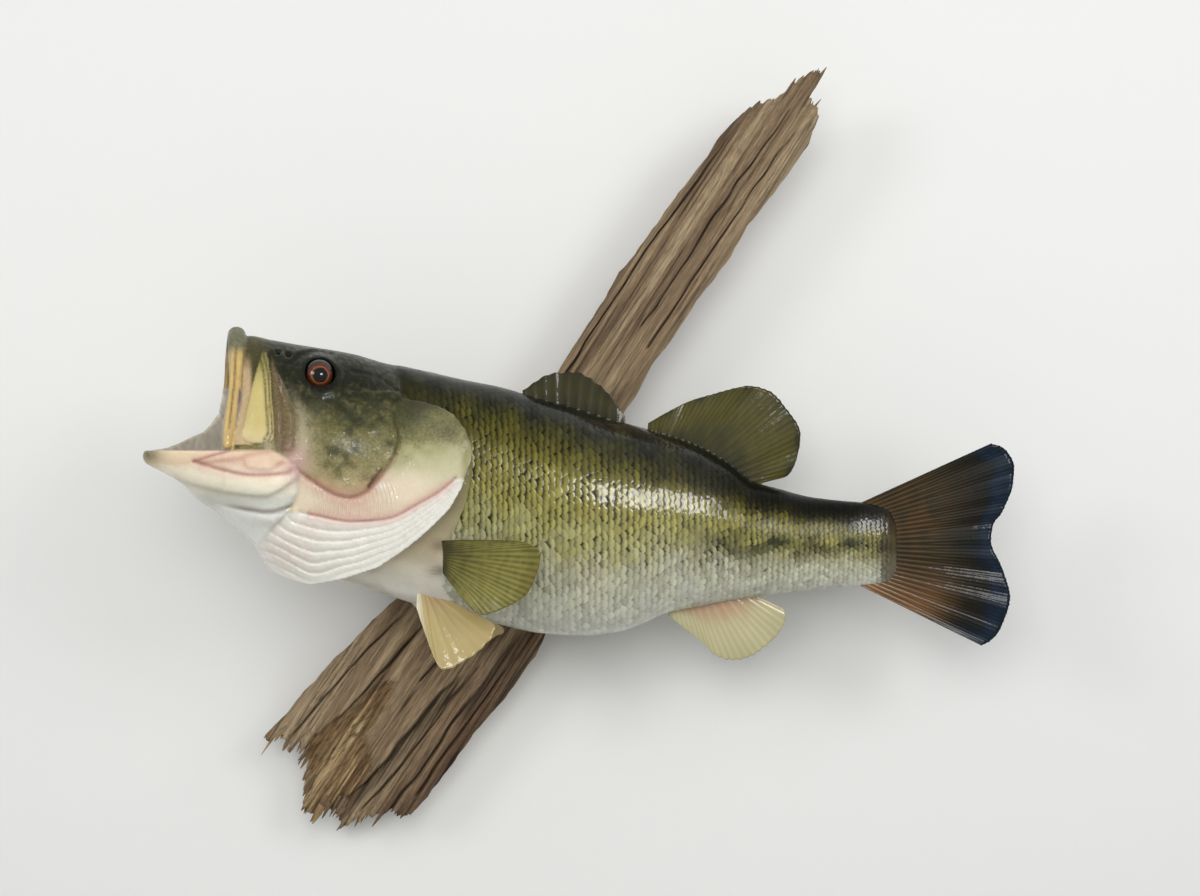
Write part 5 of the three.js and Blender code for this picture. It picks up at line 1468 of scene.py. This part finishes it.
def plain_wood():
    """Planed pine of the hanging block."""
    material, tree, shader = finish("Planed Pine", roughness=0.65)
    ramp = node(tree, "ValToRGB", {"Fac": noise(tree, along_board(tree, 16), 260.0, 2.0)})
    rings = (0.35, tint(176, 138, 88)), (0.65, tint(216, 184, 134))
    for stop, (position, colour) in zip(ramp.color_ramp.elements, rings):
        stop.position, stop.color = position, (*colour, 1)
    tree.links.new(ramp.outputs["Color"], shader.inputs["Base Color"])
    return material


def one_sided(name, colour):
    """Matt paint on the front of a sheet, and nothing to be seen from its back."""
    material = bpy.data.materials.new(name)
    material.use_nodes = True
    tree = material.node_tree
    tree.nodes.clear()
    paint = node(tree, "BsdfDiffuse", {"Color": (*colour, 1)}).outputs[0]
    clear = node(tree, "BsdfTransparent").outputs[0]
    back = node(tree, "NewGeometry").outputs["Backfacing"]
    mixed = node(tree, "MixShader", {0: back, 1: paint, 2: clear}).outputs[0]
    node(tree, "OutputMaterial", {"Surface": mixed})
    return material


def steel():
    """Plain steel of the keyhole plate and its screws, faintly scratched."""
    grey = (0.56, 0.56, 0.55, 1)
    material, tree, shader = finish("Hanger Steel", roughness=0.38, metallic=1.0, base_color=grey)
    scratches = raised(tree, noise(tree, place(tree), 900.0, 2.0), 0.2, 0.0002)
    tree.links.new(scratches.outputs[0], shader.inputs["Normal"])
    return material


# ---------------------------------------------------------------- the stage's places

# Lights: place, aim, share of the power, width and height, and what each leaves out.
LIGHTS = {
    "left_light": ((-1.15, -1.12, 0.55), (0, 0, 0), 0.68, 1, 1, None),
    "right_light": ((1.25, -1.23, 0.65), (0.1, 0, 0), 1.15, 1.3, 1.3, "visible_glossy"),
    "front_light": ((0.6, -1.4, 0.4), (0.06, -0.1, 0), 1.7, 1.2, 0.9, "visible_diffuse"),
    "fill_light": ((0, -1.3, 0.36), (0, 0, 0), 0.84, 1.6, 1.2, "visible_glossy"),
}
# Wall and floor: size, place and turn. The wall stands half a millimetre behind the mount.
SURFACES = {"wall": (6, (0, 0.0005, 0.4), math.pi / 2), "floor": (9, (0, 0, -1.4), 0)}
ROOM_LIGHT, ROOM_STRENGTH = (0.96, 0.975, 1.0, 1), 0.5
CAMERA_AWAY, CAMERA_LENS, CAMERA_SENSOR = 1.152, 50, 36
LEVEL_VIEW = (math.pi / 2, 0, 0)


# ---------------------------------------------------------------- what a user may change

class BassBodyLooks(bpy.types.PropertyGroup):
    """Sizes of the skin, scales and fins."""
    cell: FloatProperty(
        name="Skin Cell", description="Spacing at which the skin is sampled",
        default=0.001, min=0.0005, max=0.004, unit="LENGTH", subtype="DISTANCE")
    faces: IntProperty(
        name="Skin Faces", description="Triangles of the finished skin",
        default=190000, min=20000, max=198000)
    columns: IntProperty(
        name="Scale Columns", description="Scales along the lateral line",
        default=86, min=20, max=120)


class BassEyeLooks(bpy.types.PropertyGroup):
    """The glass eyes."""
    radius: FloatProperty(
        name="Eye Radius", description="Radius of the glass ball",
        default=EYE["radius"] * MM, min=0.004, max=0.012, unit="LENGTH", subtype="DISTANCE")
    iris: FloatVectorProperty(
        name="Iris Colour", description="Colour of the iris",
        size=3, default=tuple(tint(88, 44, 22)), subtype="COLOR", min=0, max=1)


class BassStageLooks(bpy.types.PropertyGroup):
    """Wall, floor and lights."""
    wall: FloatVectorProperty(
        name="Wall Colour", description="Colour of the wall behind the mount",
        size=3, default=(0.8, 0.8, 0.775), subtype="COLOR", min=0, max=1)
    power: FloatProperty(
        name="Light Power", description="Power of each soft light",
        default=7.6, min=0, unit="POWER", subtype="POWER")
    light_size: FloatProperty(
        name="Light Size", description="Width of each soft light",
        default=0.5, min=0.05, unit="LENGTH", subtype="DISTANCE")


# ---------------------------------------------------------------- operators

# The CAD nodes that the skin stands for.
FLESH = ("head", "upper_lip", "lower_jaw", "maxilla_left", "maxilla_right", "gill_cover_left",
         "gill_cover_right", "gill_membrane_left", "gill_membrane_right", "trunk", "tail_stalk")


class BASS_OT_skin(bpy.types.Operator):
    """Make the fish's skin"""
    bl_idname = "bass.skin"
    bl_label = "Make Skin"

    def execute(self, context):
        looks = context.scene.bass_body
        points, faces = make_skin(looks.cell / MM * (1))
        skin = new_mesh("skin", points * MM, faces)
        keep_largest(skin)
        triangles = sum(len(f.vertices) - 2 for f in skin.data.polygons)
        if triangles > looks.faces:
            thin_out(skin, looks.faces / triangles)
        straight = points_of(skin) / MM
        colour, mottle, folds, strength = skin_paint(straight)
        paint_points(skin, colour)
        for name, values in (("mottle", mottle), ("folds", folds), ("fold_strength", strength),
                             ("gloss", skin_gloss(*straight.T))):
            mark_points(skin, name, values)
        move_points(skin, bend(straight))
        settle(skin, lacquer("Painted Skin", skin=True, gloss=True, ripples=1.3), "painted_skin", *FLESH)
        return {"FINISHED"}


class BASS_OT_scales(bpy.types.Operator):
    """Lay the scales on both sides of the body"""
    bl_idname = "bass.scales"
    bl_label = "Lay Scales"

    def execute(self, context):
        material = lacquer("Scales", gloss=True, roughness=0.3, ripples=0.2)
        for name, side in (("scales_left", -1), ("scales_right", 1)):
            points, faces, colour, uv = make_scales(side, context.scene.bass_body.columns, 7 + side)
            scales = new_mesh(name, bend(points), faces)
            paint_points(scales, colour)
            mark_points(scales, "gloss", skin_gloss(*points.T))
            lay_uv(scales, uv)
            settle(scales, material, "painted_skin", edge=60)
        return {"FINISHED"}


class BASS_OT_eyes(bpy.types.Operator):
    """Set the two glass eyes"""
    bl_idname = "bass.eyes"
    bl_label = "Set Eyes"

    def execute(self, context):
        looks = context.scene.bass_eyes
        glass, tree, shader = finish("Eye Glass", roughness=0.3, specular_ior_level=0.0, coat_weight=1.0,
                                     coat_roughness=0.02)
        tree.links.new(attribute(tree, "paint", "Color"), shader.inputs["Base Color"])
        for name, side in (("eye_left", -1), ("eye_right", 1)):
            bpy.ops.object.select_all(action="DESELECT")
            bpy.ops.mesh.primitive_uv_sphere_add(segments=64, ring_count=48, radius=looks.radius)
            eye = bpy.context.object
            eye.name = name
            local = points_of(eye) / MM
            turned = np.stack([local[:, 0], side * local[:, 2], -side * local[:, 1]], -1)
            colour, off = eye_paint(turned, side, np.array(looks.iris))
            paint_points(eye, colour)
            turned = turned * (1 + 0.05 * bump(off, 22))[:, None]
            move_points(eye, bend(turned + np.array([EYE["s"], side * EYE["t"], EYE["z"]])))
            if side > 0:
                turn_outwards(eye)
            settle(eye, glass, "eye_glass", name)
        return {"FINISHED"}


class BASS_OT_fins(bpy.types.Operator):
    """Spread the fins"""
    bl_idname = "bass.fins"
    bl_label = "Spread Fins"

    def execute(self, context):
        finishes = {slot: fin_finish(*finish) for slot, finish in FIN_FINISHES.items()}
        for seed, name in enumerate(FINS, 60):
            points, faces, marks = make_fin(name, seed)
            fin = new_mesh(name + "_skin", bend(points), faces)
            paint_points(fin, fin_paint(name, points, marks))
            slot = FIN_SLOTS.get(name.split("_")[0], "olive_fin")
            settle(fin, finishes[slot], slot, name)
        return {"FINISHED"}


class BASS_OT_board(bpy.types.Operator):
    """Make the driftwood board"""
    bl_idname = "bass.board"
    bl_label = "Make Driftwood"

    def execute(self, context):
        u, v, front, back, shade, fresh = (part.ravel() for part in make_board())
        points = np.concatenate([board_points(u, v, depth) for depth in (front, back)])
        board = new_mesh("driftwood", points * MM, sheet_faces(BOARD_ROWS, BOARD_COLUMNS))
        paint_points(board, np.concatenate([
            wood_paint(u, v, shade, fresh), wood_paint(u + BACK_SHIFT, v, 0.4 * shade, np.zeros(len(u)))]))
        wood = wood_finish()
        settle(board, wood, "driftwood", "driftwood_board")
        u, v, depth, faces, fresh = make_splinters()
        splinters = new_mesh("driftwood_splinters", board_points(u, v, depth) * MM, faces)
        paint_points(splinters, wood_paint(u, v, 0.35 * (1 - fresh), 0.8 * fresh))
        settle(splinters, wood, "driftwood", edge=40)
        return {"FINISHED"}


class BASS_OT_hanger(bpy.types.Operator):
    """Finish the hanging block and its steel plate"""
    bl_idname = "bass.hanger"
    bl_label = "Finish Hanger"

    def execute(self, context):
        pine, metal = plain_wood(), steel()
        for name, (material, slot) in {"hanging_block": (pine, "planed_pine"),
                                       "hanger_plate": (metal, "hanger_steel"),
                                       "hanger_screw_left": (metal, "hanger_steel"),
                                       "hanger_screw_right": (metal, "hanger_steel")}.items():
            piece = frame["nodes"][name]
            piece.data.materials.clear()
            piece.data.materials.append(material)
        return {"FINISHED"}


class BASS_OT_stage(bpy.types.Operator):
    """Make the wall, the floor, the lights and the camera"""
    bl_idname = "bass.stage"
    bl_label = "Make Stage"

    def execute(self, context):
        looks = context.scene.bass_stage
        wall = one_sided("Pale Wall", looks.wall)
        for name, (size, at, turn) in SURFACES.items():
            bpy.ops.object.select_all(action="DESELECT")
            bpy.ops.mesh.primitive_plane_add(size=size, location=at, rotation=(turn, 0, 0))
            surface = bpy.context.object
            surface.name = name
            surface.data.materials.append(wall)
        world = bpy.data.worlds.new("Pale Room")
        world.use_nodes = True
        background = world.node_tree.nodes["Background"]
        background.inputs["Color"].default_value = ROOM_LIGHT
        background.inputs["Strength"].default_value = ROOM_STRENGTH
        context.scene.world = world
        for name, (at, aim, share, wide, high, left_out) in LIGHTS.items():
            data = bpy.data.lights.new(name, "AREA")
            data.shape = "RECTANGLE"
            data.size, data.size_y = looks.light_size * wide, looks.light_size * high
            data.energy = looks.power * share
            light = bpy.data.objects.new(name, data)
            light.location = at
            way = mathutils.Vector(aim) - mathutils.Vector(at)
            light.rotation_euler = way.to_track_quat("-Z", "Y").to_euler()
            if left_out:
                setattr(light, left_out, False)
            context.scene.collection.objects.link(light)
        camera = bpy.data.objects.new("camera", bpy.data.cameras.new("camera"))
        camera.data.lens, camera.data.sensor_width = CAMERA_LENS, CAMERA_SENSOR
        camera.location = (FISH_AT[0] * MM, -CAMERA_AWAY, FISH_AT[2] * MM)
        camera.rotation_euler = LEVEL_VIEW
        context.scene.collection.objects.link(camera)
        context.scene.camera = camera
        context.scene.view_settings.view_transform = "Standard"
        return {"FINISHED"}


class BASS_PT_panel(bpy.types.Panel):
    """Everything that makes the mount"""
    bl_idname = "BASS_PT_panel"
    bl_label = "Bass Mount"
    bl_space_type = "VIEW_3D"
    bl_region_type = "UI"
    bl_category = "Bass Mount"

    def draw(self, context):
        for name in GROUPS:
            box = self.layout.box()
            looks = getattr(context.scene, name)
            for key in type(looks).__annotations__:
                box.prop(looks, key)
        for operator in OPERATORS:
            self.layout.operator(operator.bl_idname)


GROUPS = {"bass_body": BassBodyLooks, "bass_eyes": BassEyeLooks, "bass_stage": BassStageLooks}
OPERATORS = (BASS_OT_skin, BASS_OT_scales, BASS_OT_eyes, BASS_OT_fins, BASS_OT_board, BASS_OT_hanger,
             BASS_OT_stage)


def register():
    """Makes the classes and the settings known."""
    for one in (*GROUPS.values(), *OPERATORS, BASS_PT_panel):
        bpy.utils.register_class(one)
    for name, group in GROUPS.items():
        setattr(bpy.types.Scene, name, PointerProperty(type=group))


def unregister():
    """Takes them away again."""
    for name in GROUPS:
        delattr(bpy.types.Scene, name)
    for one in (BASS_PT_panel, *reversed(OPERATORS), *reversed(GROUPS.values())):
        bpy.utils.unregister_class(one)


def main():
    """Makes the whole mount and its stage."""
    register()
    for operator in OPERATORS:
        group, name = operator.bl_idname.split(".")
        getattr(getattr(bpy.ops, group), name)()


if __name__ == "__main__":
    main()
